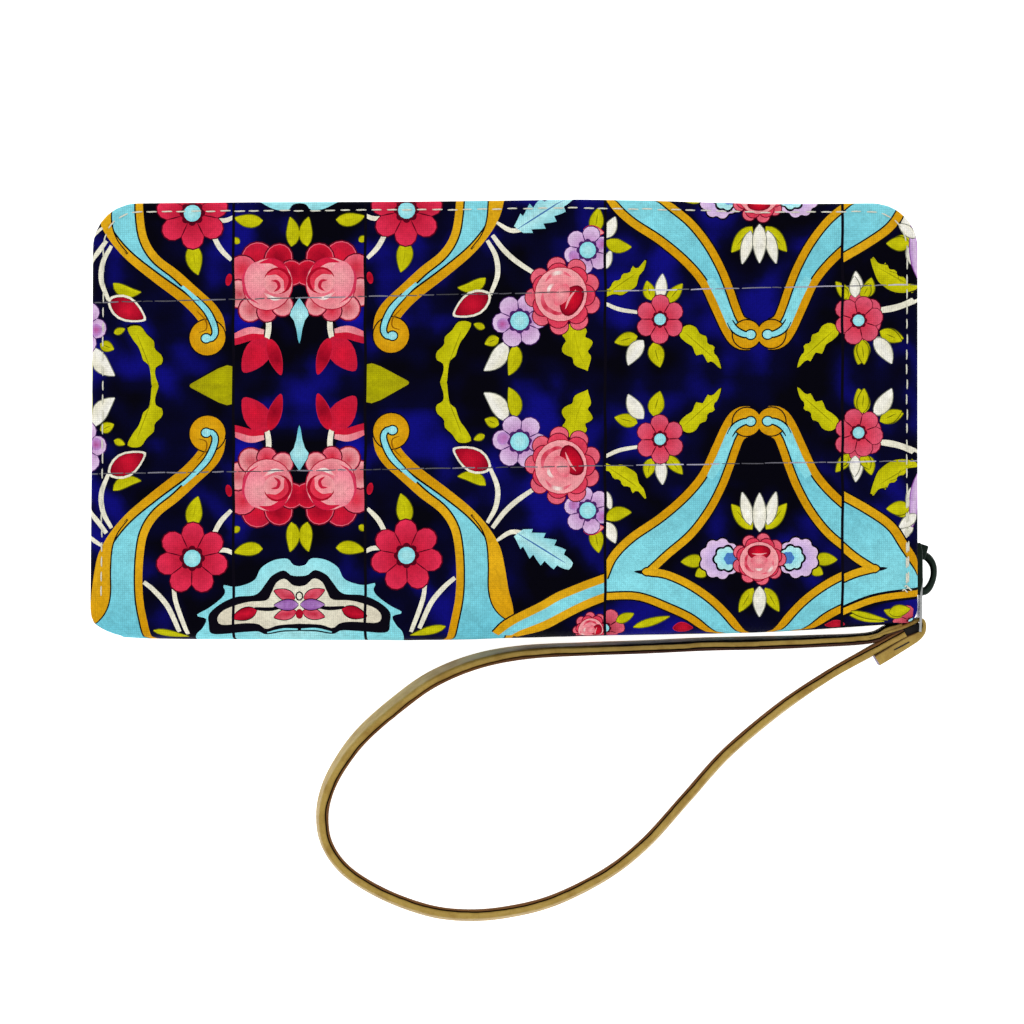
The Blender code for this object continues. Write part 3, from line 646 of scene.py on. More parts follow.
def medallion(p):
    """The lobed medallion at the strip's foot, whose tip also shows at the top edge."""
    p.strip(LEFT_AXIS, -24.8, 24.8, False)
    rings = (
        ([(0, 42.8), (1.5, 42.4), (2.8, 41.0), (6.0, 41.3), (9.0, 43.1), (10.7, 46.0), (14.8, 47.4),
          (17.9, 47.0), (17.4, 48.5), (18.4, 50.1), (21.3, 52.3), (24.2, 54.0), (21.9, 54.9), (22.8, 57.0),
          (24.4, 59.2), (24.4, 66)], CYAN_PALE, CYAN),
        ([(0, 45.1), (1.9, 44.9), (3.7, 43.7), (6.4, 44.9), (7.8, 46.6), (10.2, 49.3), (14.8, 49.8),
          (18.4, 51.3), (21.2, 53.7), (21.3, 56.0), (20.4, 58.6), (14.0, 58.2), (9.8, 58.0), (7.8, 58.9),
          (4.0, 58.2), (0, 58.0)], OUTLINE, None),
        ([(0, 47.5), (1.6, 47.2), (3.4, 45.7), (5.4, 46.6), (6.6, 49.0), (7.8, 50.7), (11.9, 51.0),
          (15.4, 51.9), (18.1, 53.1), (19.3, 54.8), (18.2, 56.3), (12.5, 56.0), (9.6, 56.3), (7.8, 57.4),
          (4.9, 56.6), (0, 56.3)],
         CREAM, (214, 206, 184)),
    )
    for points, inner, outer in rings:
        half = spline(points, 0.7)
        full = np.vstack([half, np.stack([-half[::-1][:-1, 0], half[::-1][:-1, 1]], axis=1)])
        p.add(full, inner, outer, centre=(0, 52), radius=16)
    p.strip(LEFT_AXIS, -0.01, 24.8, True)
    p.add(stroke([(4.4, 52.4), (7.0, 52.8), (10.6, 52.6)], 0.9, 0.3, 0.6), OUTLINE)
    for base, tip, width, tones in (
        ((10.0, 53.0), (15.9, 54.8), 2.8, (RED, RED_DEEP)),
        ((1.0, 50.4), (6.0, 48.4), 2.5, (PINK_DEEP, PINK)),
        ((0.7, 53.4), (6.0, 54.8), 2.5, (PINK_DEEP, PINK)), ((0.2, 51.8), (6.0, 51.9), 2.5, (LILAC, PURPLE)),
    ):
        leaf(p, base, tip, width, (*tones, OUTLINE), vein=False)
    p.add(stroke([(0.4, 57.6), (4.0, 57.6), (7.6, 58.4)], 0.5, 0.3, 0.8), CYAN)
    p.strip(LEFT_AXIS, -24.8, 24.8, False)
    p.add(oval((0, 49.8), 1.9, 2.3, 0, 12), OUTLINE)
    p.add(oval((0, 49.8), 1.2, 1.6, 0, 10), CREAM)
    p.add(oval((0, 54.0), 1.8, 2.4, 0, 12), RED, RED_DEEP, centre=(0, 54), radius=1.2)


def ribbon_strip(p):
    """The wide strip with the long ribbon, the red rosettes and the rose spray."""
    p.strip(LEFT_AXIS, SEAM_ROSE, SEAM_LEFT, True)
    arrow = [(15.6, -0.1), (15.6, 4.4), (17.0, 4.7), (19.0, 4.0), (21.6, 2.6), (23.6, 1.5), (25.6, 0.4),
             (25.8, -0.1)]
    p.add(np.array(arrow) * [1.01, 1.1], OUTLINE)
    p.add(arrow, LEAF, (150, 144, 8), centre=(18.6, 0.4), radius=6)

    p.add(stroke([(16.0, 29.4), (18.6, 32.2), (20.8, 36.4)], 1.2, 0.3), CREAM)
    p.add(stroke([(29.6, 46.6), (29.2, 50.2), (28.0, 54.0), (26.2, 58.6)], 1.1, 0.2), CREAM)
    p.add(stroke([(36.6, 46.0), (34.2, 48.0), (31.0, 51.8), (28.2, 57.8)], 1.2, 0.2), CREAM)
    p.add(stroke([(15.4, 39.6), (17.2, 38.8), (19.4, 38.8)], 1.1, 0.2), CREAM)
    p.add(oval((16.6, 24.8), 1.5, 2.9, 0.2, 12), RED_DEEP, RED, centre=(16.6, 24.8), radius=1.4)
    leaf(p, (34.4, 57.4), (26.0, 59.6), 1.9, vein=False)
    leaf(p, (24.9, 33.4), (23.8, 26.0), 3.7, bend=0.05)
    rosette(p, (25.2, 40.6), 8.1, 7, ((168, 6, 34), RED, (218, 44, 78), (84, 2, 24)), phase=0.2)
    ribbon(p,
           [(17.3, 12.6), (17.9, 16.0), (19.9, 19.2), (23.8, 22.8), (28.4, 27.0), (33.0, 30.6), (35.6, 34.6),
            (36.6, 39.6), (36.9, 45.6), (36.6, 51.0), (35.4, 57.0), (33.4, 66)],
           [(23.0, 14.2), (25.2, 17.0), (28.6, 20.2), (34.6, 24.8), (40.6, 29.8), (44.6, 34.4), (47.2, 39.0),
            (48.3, 43.6), (49.2, 49.0), (50.4, 54.8), (50.0, 66)], 1.7, 0.42)
    swell = [(40.4, 31.2), (42.9, 34.4), (44.2, 38.0), (44.6, 43.1), (44.6, 48.6), (45.4, 52.2), (47.2, 54.8),
             (49.8, 56.6)]
    p.add(stroke(swell, 0.7, 0.3, 0.9), OUTLINE)
    back = [(50.2, 55.4), (49.0, 49.0), (48.1, 43.4), (46.9, 39.0), (43.6, 33.8)]
    p.add(np.vstack([spline(swell, 0.9), spline(back, 0.9)]), GOLD_LIGHT, GOLD, centre=(47, 42), radius=16)
    hook(p, (21.6, 11.3), 4.2, [(27.6, 23.4), (24.6, 20.6), (21.8, 17.6), (20.2, 14.5), (19.8, 12.2),
                                (20.8, 10.9), (21.9, 11.1)], 1.1)
    p.add(stroke([(24.0, 17.5), (22.0, 15.2), (21.9, 13.2), (23.6, 12.5)], 0.36, 0.6, 0.6), GOLD_DEEP)

    p.add(stroke([(45.4, 34.4), (48.0, 31.0), (51.0, 28.2), (55.4, 25.2)], 1.2, 0.2), CREAM)
    p.add(stroke([(44.2, 33.2), (46.2, 29.4), (46.6, 25.0), (44.9, 20.4)], 1.2, 0.3), CREAM)
    p.add(stroke([(46.4, 37.4), (50.0, 35.4), (54.2, 36.2)], 1.1, 0.4), CREAM)
    feather(p, (51.0, 35.6), (64.0, 43.8), 8.2)
    leaf(p, (43.8, 24.4), (37.2, 22.2), 2.6, bend=0.15)
    bud(p, (44.1, 20.2), (36.6, 15.9), 4.5)
    ragged(p, RAGGED_LONG, ((38.2, 12.4), (34.6, 3.0)))
    leaf(p, (43.6, 12.6), (41.0, 13.6), 1.5, vein=False)

    leaf(p, (46.9, 10.2), (43.6, 8.8), 2.4)
    white_leaf(p, (48.4, 9.4), (43.4, 2.6), 3.8, 0.12)
    leaf(p, (50.6, 8.6), (49.2, 1.4), 3.2, bend=0.1)
    leaf(p, (64.4, 14.0), (67.8, 2.2), 6.8, bend=-0.06, ragged=3)
    leaf(p, (69.4, 34.6), (70.4, 40.6), 3.2)
    leaf(p, (66.8, 35.4), (71.6, 34.6), 2.4, (PINK_PALE, PINK, PINK_DEEP))
    for at, radius, phase in (((67.8, 30.6), 5.4, 0.3), ((51.8, 14.2), 6.1, 0.1)):
        rosette(p, at, radius, 6, ((168, 92, 170), LILAC, LILAC_PALE, (70, 30, 96)), phase=phase,
                heart_size=0.36)
        for k in (0, 3):
            way = phase + math.pi * k / 3 + 0.1
            spot = (at[0] + 0.66 * radius * math.cos(way), at[1] + 0.66 * radius * math.sin(way))
            p.add(oval(spot, radius * 0.46, radius * 0.5, way, 12), (176, 60, 130), LILAC, centre=spot,
                  radius=radius * 0.25)
    rose(p, (62.0, 20.0), 9.2, -0.5, 1.04, 0.66)

    ribbon(p, [(46.8, 60.2), (48.8, 58.2), (51.9, 56.4), (54.2, 55.3), (57.7, 53.6), (61.0, 51.7),
               (63.6, 50.6), (68.0, 48.9), (72.6, 47.3)],
           [(49.8, 60.2), (51.9, 58.6), (57.7, 56.4), (63.6, 53.4), (68.0, 51.4), (72.6, 49.7)], 1.9)
    rose(p, (68.8, 59.0), 4.6, 0.2)


def side_bloom(p, centre, facing):
    """A scalloped pale flower seen from the side, with a blue core towards the rose."""
    a, d = centre
    p.add(lobed(centre, 4.9, 9, 0.12), OUTLINE)
    p.add(lobed(centre, 4.5, 9, 0.12), (176, 150, 214), LILAC_PALE, centre=centre, radius=4.4)
    core = (a + 1.5 * facing, d)
    p.add(lobed(core, 3.1, 7, 0.14, 0.4), OUTLINE)
    p.add(lobed(core, 2.6, 7, 0.14, 0.4), CYAN, CYAN_PALE, centre=core, radius=2.6)
    p.add(lobed((a + 2.4 * facing, d), 1.4, 6, 0.14), (70, 120, 190))


def tall_strip(p):
    """The right strip: meeting ribbons, a small rosette and the centred rose."""
    p.strip(RIGHT_AXIS, -36.3, 0.01, True)
    p.add(stroke([(-36.6, 18.2), (-33.0, 16.6), (-28.6, 15.8)], 0.95, 0.2), CREAM)
    white_leaf(p, (-36.4, 26.0), (-34.8, 30.6), 1.9)
    leaf(p, (-36.0, 32.8), (-30.0, 31.2), 3.1, bend=-0.1, vein=False)
    white_leaf(p, (-35.9, 33.4), (-33.8, 38.4), 2.7)
    ragged(p, RAGGED_HANGING, ((-35.4, 20.6), (-28.6, 25.2)))
    ragged(p, RAGGED_POINTED, ((-17.6, 11.0), (-10.6, 4.8)))
    leaf(p, (-25.4, 18.6), (-26.4, 23.2), 2.7)
    leaf(p, (-21.7, 18.0), (-18.0, 22.4), 2.6)
    white_leaf(p, (-23.3, 18.8), (-22.7, 24.8), 2.6)
    leaf(p, (-28.6, 10.2), (-34.0, 8.8), 3.0)
    white_leaf(p, (-27.2, 9.2), (-30.8, 3.4), 3.3, -0.06)
    leaf(p, (-24.9, 8.6), (-23.3, 2.8), 3.6)
    rosette(p, (-23.3, 14.1), 5.5, 6, (RED, (196, 34, 66), (214, 84, 110), (92, 2, 26)), phase=0.5)

    outer = [(-36.6, 46.4), (-34.4, 41.6), (-30.1, 37.2), (-23.3, 32.6), (-17.4, 27.6), (-13.2, 22.6),
             (-10.4, 16.8), (-8.0, 11.6), (-6.2, 8.8), (-4.2, 7.6), (-2.2, 7.6)]
    inner = [(-21.4, 41.2), (-16.2, 36.8), (-12.1, 31.6), (-9.0, 26.0), (-6.9, 20.8), (-5.6, 17.0),
             (-4.2, 13.8), (-2.4, 12.9)]
    low_top = [(-21.4, 46.0), (-15.3, 49.0), (-9.4, 53.6), (-4.2, 60.0), (-2.6, 66)]
    low_foot = [(-36.8, 50.9), (-28.7, 51.0), (-21.6, 53.6), (-15.0, 57.0), (-10.0, 62.0), (-8.4, 66)]
    tip = (-25.8, 45.2)
    arm = np.vstack([spline(outer, 1.1), spline(inner[::-1] + [tip], 1.1), spline([tip] + low_top, 1.1),
                     spline(low_foot, 1.1)[::-1]])
    p.add(arm, CYAN, CYAN_DEEP, centre=(-30, 48), radius=52)
    gold_line(p, outer, 1.8)
    gold_line(p, low_foot, 1.6)
    notch(p, tip, inner, low_top)
    p.add(stroke([(-11.6, 23.4), (-9.2, 19.2), (-7.6, 15.6), (-6.2, 12.2), (-4.6, 10.6)], 2.4, 0.3), CYAN)
    hook(p, (-2.9, 10.3), 3.3, [(-8.0, 16.6), (-6.9, 13.4), (-5.6, 11.4), (-3.6, 10.3), (-2.0, 10.2)], 1.15)

    for at, tip_at, wide in (((-12.9, 42.7), (-18.4, 43.0), 2.9), ((-12.2, 44.8), (-15.0, 46.4), 2.4)):
        leaf(p, at, tip_at, wide, vein=False)
    side_bloom(p, (-9.2, 42.4), 1)
    leaf(p, (-1.6, 35.6), (-6.5, 29.6), 3.3)
    white_leaf(p, (-2.0, 34.6), (-4.0, 26.8), 2.5)
    leaf(p, (-1.4, 49.4), (-4.7, 55.0), 2.7)
    p.mirror, p.clip = False, (-36.3, SEAM_RIGHT)
    white_leaf(p, (0.1, 36.2), (0.1, 27.0), 3.1)
    white_leaf(p, (0.1, 49.0), (0.1, 56.2), 2.9)
    rose(p, (0, 42.6), 6.5, -1.57, 0.96, 0.70)
    p.mirror, p.clip = True, (-36.3, 0.01)
    rosette(p, (-36.4, 58.4), 4.6, 6, (RED_DEEP, RED, PINK, (70, 2, 22)))
    leaf(p, (-33.6, 56.8), (-29.4, 55.0), 2.0, vein=False)
    leaf(p, (-29.6, 58.2), (-21.0, 55.8), 1.7, vein=False)
    bud(p, (-20.0, 58.6), (-15.6, 58.6), 2.6, rim=False)


def edge_strip(p):
    """The narrow strip at the right edge."""
    p.strip(RIGHT_AXIS, SEAM_RIGHT, 60, False)
    p.add(stroke([(28.4, 15.2), (32.0, 15.8), (38.2, 18.0)], 0.95, 0.2), CREAM)
    ragged(p, RAGGED_EDGE, ((36.4, 20.8), (28.2, 25.4)))
    leaf(p, (35.6, 31.0), (29.9, 31.2), 3.2, vein=False)
    leaf(p, (37.6, 23.0), (36.0, 35.6), 2.6, (LILAC_PALE, LILAC, PURPLE), vein=False)
    white_leaf(p, (37.2, 32.6), (32.8, 35.8), 2.4)
    leaf(p, (28.4, 10.6), (33.6, 8.2), 3.0)
    white_leaf(p, (27.0, 9.0), (31.2, 2.9), 3.4, 0.06)
    leaf(p, (24.2, 8.6), (24.7, 2.8), 2.7)
    leaf(p, (20.8, 18.6), (18.0, 21.0), 2.6)
    leaf(p, (24.2, 18.4), (26.0, 21.8), 2.4)
    white_leaf(p, (22.6, 18.6), (22.4, 23.6), 2.4)
    rosette(p, (23.4, 13.2), 5.5, 6, (RED, (196, 34, 66), (214, 84, 110), (92, 2, 26)), phase=0.2)
    upper = [(18.8, 27.4), (25.6, 31.3), (31.0, 35.2), (34.4, 40.2), (38.6, 46.4)]
    lower = [(18.8, 55.6), (27.5, 52.4), (38.6, 51.0)]
    p.add(np.vstack([spline(upper, 1.1), spline(lower, 1.1)[::-1]]), CYAN, CYAN_DEEP, centre=(30, 47),
          radius=30)
    notch(p, (26.6, 45.2), [(22.4, 42.4), (17.8, 38.4)], [(22.6, 46.2), (17.8, 48.2)], dark_between=True)
    gold_line(p, upper, 1.9)
    gold_line(p, lower, 1.5, 0.6)
    leaf(p, (30.6, 55.6), (35.6, 54.8), 2.7, vein=False)
    leaf(p, (21.6, 55.2), (30.4, 57.6), 1.2, vein=False)


def tile_joints(p):
    """The dark joints between the printed tiles, and the pale broken lines across them."""
    p.strip(LEFT_AXIS, -200, 200, False)
    for a in (-SEAM_ROSE, SEAM_ROSE, SEAM_LEFT, RIGHT_AXIS - LEFT_AXIS + SEAM_RIGHT):
        wander = [(a + 0.12 * math.sin(0.37 * d), d) for d in range(-70, 71, 7)]
        p.add(stroke(wander, 0.66, 0.0, 2.0), OUTLINE, sides=(1,))
    rand = random.Random(7)
    for d, rise in ((20.3, 0.008), (-20.3, 0.002)):
        a = -52.0
        while a < 150:
            length = rand.uniform(1.5, 7)
            bright = rand.uniform(0.3, 1.0)
            tone = tuple(34 + (100 if a < 70 else 176) * bright * k for k in (0.9, 0.88, 1.0))
            line = [(a + u, d + rise * (a + u) + rand.uniform(-0.08, 0.08)) for u in (0, length / 2, length)]
            p.add(stroke(line, 0.18 + 0.16 * bright, 0.2, 2.0), tone, sides=(1,))
            a += length + rand.uniform(0.1, 0.8)


def make_print():
    """Every shape of the print, in painter's order."""
    p = Print()
    rose_strip(p)
    medallion(p)
    ribbon_strip(p)
    tall_strip(p)
    edge_strip(p)
    tile_joints(p)
    return p.shapes


# ---------------------------------------------------------------- the cloth's shape

ROLL, RIM_DROP, RIM_TURN, TUCK = 1.4, 0.3, 0.4, 1.1
SPINE_ROLL = 3.0
BOTTOM_EDGE = ((-98, -51.0), (-81, -51.4), (-60, -51.7), (-35, -51.9), (-12, -51.7), (5, -51.2), (25, -50.8),
               (45, -50.4), (60, -50.0), (73, -49.4), (85, -48.6), (98, -47.7))
TOP_EDGE = ((-60, 50.95), (-20, 51.1), (0, 51.35), (18, 51.6), (35, 51.3), (50, 50.85), (62, 50.5),
            (76, 50.6))
LEFT_X, RIGHT_X, TOP_Y = -97.4, 97.4, 50.7
STITCH_INSET, TOP_STITCH_INSET, STITCH_PITCH = 2.6, 2.05, 3.5
STITCH_START_Y, STITCH_END_Y = -43.0, -41.0
HEAVY_STITCH_X, HEAVY_STITCH_Y = 93, -16
KNOT_AT = np.array([94.2, -39.6])
RIM_LENGTH = math.pi * ROLL / 2 + RIM_DROP + math.pi * RIM_TURN / 2 + TUCK
SPINE_LENGTH = math.pi * SPINE_ROLL / 2 + HALF_Z - SPINE_ROLL
SPINE_FOOT = SPINE_ROLL - SPINE_LENGTH


BOTTOM_LINE = spline(BOTTOM_EDGE, 2.0)


def bottom_y(x):
    """The bottom edge, which bows and slopes a little."""
    return np.interp(x, BOTTOM_LINE[:, 0], BOTTOM_LINE[:, 1])


def arc(centre, radius, start, end, steps=14):
    """Points on an arc, its angles in degrees."""
    angles = np.radians(np.linspace(start, end, steps))
    return [(centre[0] + radius * math.cos(t), centre[1] + radius * math.sin(t)) for t in angles]


def edge_line():
    """The cover's free edge in the cloth's flat plane: up the left, along the top and down the right."""
    radius = CORNER_RADIUS
    left, right = bottom_y(LEFT_X), bottom_y(RIGHT_X)
    line = [(LEFT_X + 6.3, left + SPINE_FOOT - 4), (LEFT_X + 6.3, left - 4), (LEFT_X + 6.0, left - 1.7),
            (LEFT_X + 5.0, left - 1.0), (LEFT_X + 3.7, left), (LEFT_X + 2.5, left + 1),
            (LEFT_X + 1.5, left + 2), (LEFT_X + 0.8, left + 3), (LEFT_X + 0.25, left + 4.3),
            (LEFT_X, left + 6), (LEFT_X + 0.4, 0)]
    line += arc((LEFT_X + 0.6 + radius, TOP_Y - radius), radius, 180, 90)
    line += list(TOP_EDGE)
    line += arc((RIGHT_X - radius, TOP_Y - radius), radius, 90, 0)
    line += [(RIGHT_X, 0), (RIGHT_X, right + 2.5), (RIGHT_X - 0.3, right + 0.4), (RIGHT_X - 0.8, right - 2),
             (RIGHT_X - 1.0, right + SPINE_FOOT - 4)]
    dense = [line[0]]
    for a, b in zip(line, line[1:]):
        a, b = np.array(a), np.array(b)
        count = max(int(np.linalg.norm(b - a) / 0.9), 1)
        dense += [tuple(a + (b - a) * k / count) for k in range(1, count + 1)]
    return np.array(dense)


EDGE = edge_line()
EDGE_ALONG = lengths(EDGE)
EDGE_OUT = sideways(EDGE)


def to_edge(points):
    """Each point's distance inside the edge, the nearest point on it, the way out and how far along."""
    deep = (np.abs(points[:, 0]) < RIGHT_X - 12) & (points[:, 1] < TOP_Y - 12)
    full = [np.full(len(points), 99.0), points.copy(), np.tile([0.0, 1.0], (len(points), 1)),
            np.zeros(len(points))]
    inner, nearest, out, along = [], [], [], []
    for block in np.array_split(points[~deep], max(int((~deep).sum()) // 2000, 1)):
        a, b = EDGE[:-1], EDGE[1:]
        ab = b - a
        ap = block[:, None] - a[None]
        t = np.clip((ap * ab).sum(-1) / (ab * ab).sum(-1), 0, 1)
        gap = np.linalg.norm(ap - t[..., None] * ab, axis=-1)
        k = gap.argmin(axis=1)
        row = np.arange(len(block))
        at = a[k] + ab[k] * t[row, k][:, None]
        normal = EDGE_OUT[k] * (1 - t[row, k][:, None]) + EDGE_OUT[k + 1] * t[row, k][:, None]
        normal /= np.linalg.norm(normal, axis=1, keepdims=True)
        inner.append(-((block - at) * normal).sum(-1))
        nearest.append(at)
        out.append(normal)
        along.append(EDGE_ALONG[k] + t[row, k] * np.linalg.norm(ab[k], axis=1))
    for whole, found in zip(full, (inner, nearest, out, along)):
        whole[~deep] = np.concatenate(found)
    return full


def rim(past):
    """How far out from the roll's start, and how far down, the cloth is at a length past it."""
    quarter = math.pi * ROLL / 2
    turn = math.pi * RIM_TURN / 2
    out, down = past.copy(), np.zeros_like(past)
    rolled = (past > 0) & (past <= quarter)
    out[rolled] = ROLL * np.sin(past[rolled] / ROLL)
    down[rolled] = ROLL * (1 - np.cos(past[rolled] / ROLL))
    straight = past > quarter
    out[straight] = ROLL
    down[straight] = ROLL + past[straight] - quarter
    under = past > quarter + RIM_DROP
    angle = np.minimum((past[under] - quarter - RIM_DROP) / RIM_TURN, math.pi / 2)
    extra = np.maximum(past[under] - quarter - RIM_DROP - turn, 0)
    out[under] = ROLL - RIM_TURN * (1 - np.cos(angle)) - extra
    down[under] = ROLL + RIM_DROP + RIM_TURN * np.sin(angle)
    return out, down


def waves(x, y, scale, seed):
    """Gentle unevenness, the same each run, from -1 to 1."""
    cell = 0.22 / scale
    left, low = -112.0, -68.0
    columns, rows = int(224 / cell) + 3, int(124 / cell) + 3
    grid = np.array([[noise.noise((c * 0.22, r * 0.22, seed)) for r in range(rows)] for c in range(columns)])
    u, v = (np.asarray(x) - left) / cell, (np.asarray(y) - low) / cell
    u, v = np.clip(u, 0, columns - 1.001), np.clip(v, 0, rows - 1.001)
    i, j = u.astype(int), v.astype(int)
    fu, fv = ease(u - i), ease(v - j)
    near = grid[i, j] * (1 - fu) + grid[i + 1, j] * fu
    far = grid[i, j + 1] * (1 - fu) + grid[i + 1, j + 1] * fu
    return near * (1 - fv) + far * fv


def cloth_surface(points, crown, relief):
    """Where the flat cloth's points lie on the front cover and the spine's upper half, in millimetres."""
    inner, nearest, out, along = to_edge(points)
    past = np.maximum(ROLL - inner, 0)
    reach, down = rim(past)
    plan = np.where((past > 0)[:, None], nearest - out * (ROLL - reach)[:, None], points)
    plan_flat = np.where((past > 0)[:, None], nearest - out * (ROLL - np.minimum(reach, past))[:, None],
                         points)
    t = plan_flat[:, 1] - bottom_y(plan_flat[:, 0])
    wrapped = np.maximum(SPINE_ROLL - t, 0)
    quarter = math.pi * SPINE_ROLL / 2
    angle = np.minimum(wrapped / SPINE_ROLL, math.pi / 2)
    extra = np.maximum(wrapped - quarter, 0)
    base_y = np.where(wrapped > 0, bottom_y(plan[:, 0]) + SPINE_ROLL * (1 - np.sin(angle)), plan[:, 1])
    base_z = TOP_Z - SPINE_ROLL * (1 - np.cos(angle)) - extra
    bow = 0.5 * np.sin(math.pi / 2 * np.clip(extra / (HALF_Z - SPINE_ROLL), 0, 1))
    base_y = base_y - np.where(wrapped > 0, bow, 0)
    normal = np.stack([np.zeros_like(angle), -np.sin(angle), np.cos(angle)], axis=1)
    inward = -normal * down[:, None]
    place = np.stack([plan[:, 0], base_y, base_z], axis=1) + inward
    flat = ease(np.clip((inner - 1.0) / 6.0, 0, 1))
    span = np.clip(1 - (plan[:, 0] / CROWN_HALF_SPAN) ** 4, 0, 1)
    lift = crown * flat * (0.55 + 0.45 * span) * np.clip(t / 12, 0, 1)
    lift = lift + relief * flat * (0.22 * waves(plan[:, 0], plan[:, 1], 0.035, 1.7)
                                   + 0.07 * waves(plan[:, 0], plan[:, 1], 0.16, 4.1))
    ripple = 0.65 + 0.35 * np.cos(2 * math.pi * along / STITCH_PITCH)
    seam = np.exp(-(((inner - STITCH_INSET) / 0.55) ** 2)) * np.clip((t - 1.5) / 3, 0, 1)
    lift = lift - relief * 0.26 * seam * ripple
    return place + normal * lift[:, None]


def signed_areas(points, faces):
    """Each flat triangle's area, below 0 where its corners run clockwise."""
    a, b, c = (points[faces[:, k]] for k in range(3))
    return 0.5 * ((b[:, 0] - a[:, 0]) * (c[:, 1] - a[:, 1]) - (b[:, 1] - a[:, 1]) * (c[:, 0] - a[:, 0]))


def cloth_mesh(shapes, spacing):
    """The flat cloth cut along every outline of the print: points, triangles and each one's top shape."""
    border = EDGE + EDGE_OUT * (RIM_LENGTH - ROLL)
    border = border[border[:, 1] > bottom_y(border[:, 0]) + SPINE_FOOT]
    start, end = ((x, float(bottom_y(x) + SPINE_FOOT)) for x in border[[0, -1], 0])
    count = int((end[0] - start[0]) / 1.6)
    base = [(start[0] + (end[0] - start[0]) * k / count, start[1] + (end[1] - start[1]) * k / count)
            for k in range(count + 1)]
    region = np.vstack([border, np.array(base)[::-1]])
    verts, edges = [], []

    def line(points, closed=False):
        first = len(verts)
        verts.extend((float(x), float(y)) for x, y in points)
        edges.extend((k, k + 1) for k in range(first, len(verts) - 1))
        if closed:
            edges.append((len(verts) - 1, first))

    line(region, closed=True)
    fold_x = np.linspace(LEFT_X - 4, RIGHT_X + 4, 150)
    line(np.stack([fold_x, bottom_y(fold_x) + SPINE_ROLL], axis=1))
    for drop in np.linspace(0.8, SPINE_LENGTH - 0.8, 9):
        line(np.stack([fold_x, bottom_y(fold_x) + SPINE_ROLL - drop], axis=1))
    for inset in (4.0, 3.2, 2.6, 2.0, 1.4, 0.9, 0.4, -0.1, -0.6, -1.0, -1.4, -1.7):
        loop = EDGE - EDGE_OUT * inset
        line(loop[::1 if inset > 1.5 else 2])
    low, high = region.min(axis=0) - 1, region.max(axis=0) + 1
    for shape in shapes:
        outline = shape["outline"]
        a, b = shape["clip"]
        if outline[:, 0].max() < max(low[0], a) or outline[:, 0].min() > min(high[0], b):
            continue
        if outline[:, 1].max() < low[1] or outline[:, 1].min() > high[1]:
            continue
        line(outline, closed=True)
    for row, y in enumerate(np.arange(low[1], high[1], spacing * 0.87)):
        for x in np.arange(low[0] + (row % 2) * spacing / 2, high[0], spacing):
            verts.append((float(x), float(y)))
    made = geometry.delaunay_2d_cdt([Vector(v) for v in verts], edges, [], 0, 1e-4, False)
    points = np.array([tuple(v) for v in made[0]])
    faces = np.array([f for f in made[2] if len(f) == 3])
    middles = points[faces].mean(axis=1)
    keep = inside(middles, region)
    faces, middles = faces[keep], middles[keep]
    backward = signed_areas(points, faces) < 0
    faces[backward] = faces[backward][:, ::-1]
    top = np.full(len(faces), -1)
    for k, shape in enumerate(shapes):
        outline = shape["outline"]
        a, b = shape["clip"]
        (x0, y0), (x1, y1) = outline.min(axis=0), outline.max(axis=0)
        x, y = middles.T
        near = np.flatnonzero((x > max(x0, a)) & (x < min(x1, b)) & (y > y0) & (y < y1))
        if len(near):
            top[near[inside(middles[near], outline)]] = k
    return points, faces, top


def paint(points, faces, top, shapes):
    """Each triangle corner's colour."""
    corners = points[faces]
    x, y = points[:, 0], points[:, 1]
    cloud = waves(x, y, 0.055, 9.3) * 0.6 + waves(x, y, 0.17, 3.1) * 0.4
    fleck = np.random.default_rng(5).uniform(-1, 1, len(points))
    deep, mid, bright = linear(INK), linear(NAVY), linear(COBALT)
    level = np.clip(0.36 + cloud * 1.7, 0, 1)[:, None]
    ground = np.where(level < 0.5, deep + (mid - deep) * level * 2, mid + (bright - mid) * (level * 2 - 1))
    colours = ground[faces]
    for k, shape in enumerate(shapes):
        rows = np.flatnonzero(top == k)
        if not len(rows):
            continue
        spots = corners[rows]
        if shape["anchor"] is None:
            blend = np.zeros(spots.shape[:2])
        else:
            a, b = shape["anchor"]
            ab = b - a
            length = max(float((ab * ab).sum()), 1e-9)
            share = np.clip(((spots - a) * ab).sum(-1) / length, 0, 1)
            t = share if length > 1e-6 else np.zeros(spots.shape[:2])
            gap = np.linalg.norm(spots - a - t[..., None] * ab, axis=-1)
            blend = np.clip(gap / shape["radius"], 0, 1)
        mixed = shape["inner"] + (shape["outer"] - shape["inner"]) * blend[..., None]
        colours[rows] = mixed * (1 + 0.10 * fleck[faces[rows]])[..., None]
    return np.clip(colours, 0, 1)


def build_mesh(name, places, faces, colours=None, attribute="print", normals=None, finish=None):
    """A mesh object from points in millimetres and faces, with corner colours and given normals."""
    used = np.unique(faces)
    index = np.full(len(places), -1)
    index[used] = np.arange(len(used))
    mesh = bpy.data.meshes.new(name)
    mesh.from_pydata((places[used] * MM).tolist(), [], index[faces].tolist())
    if colours is not None:
        layer = mesh.color_attributes.new(attribute, "FLOAT_COLOR", "CORNER")
        rgba = np.ones((len(faces) * 3, 4), np.float32)
        rgba[:, :3] = colours.reshape(-1, 3)
        layer.data.foreach_set("color", rgba.ravel())
    mesh.shade_smooth()
    if normals is not None:
        mesh.normals_split_custom_set_from_vertices(normals[used].tolist())
    if finish is not None:
        mesh.materials.append(finish)
    obj = bpy.data.objects.new(name, mesh)
    bpy.context.scene.collection.objects.link(obj)
    return obj


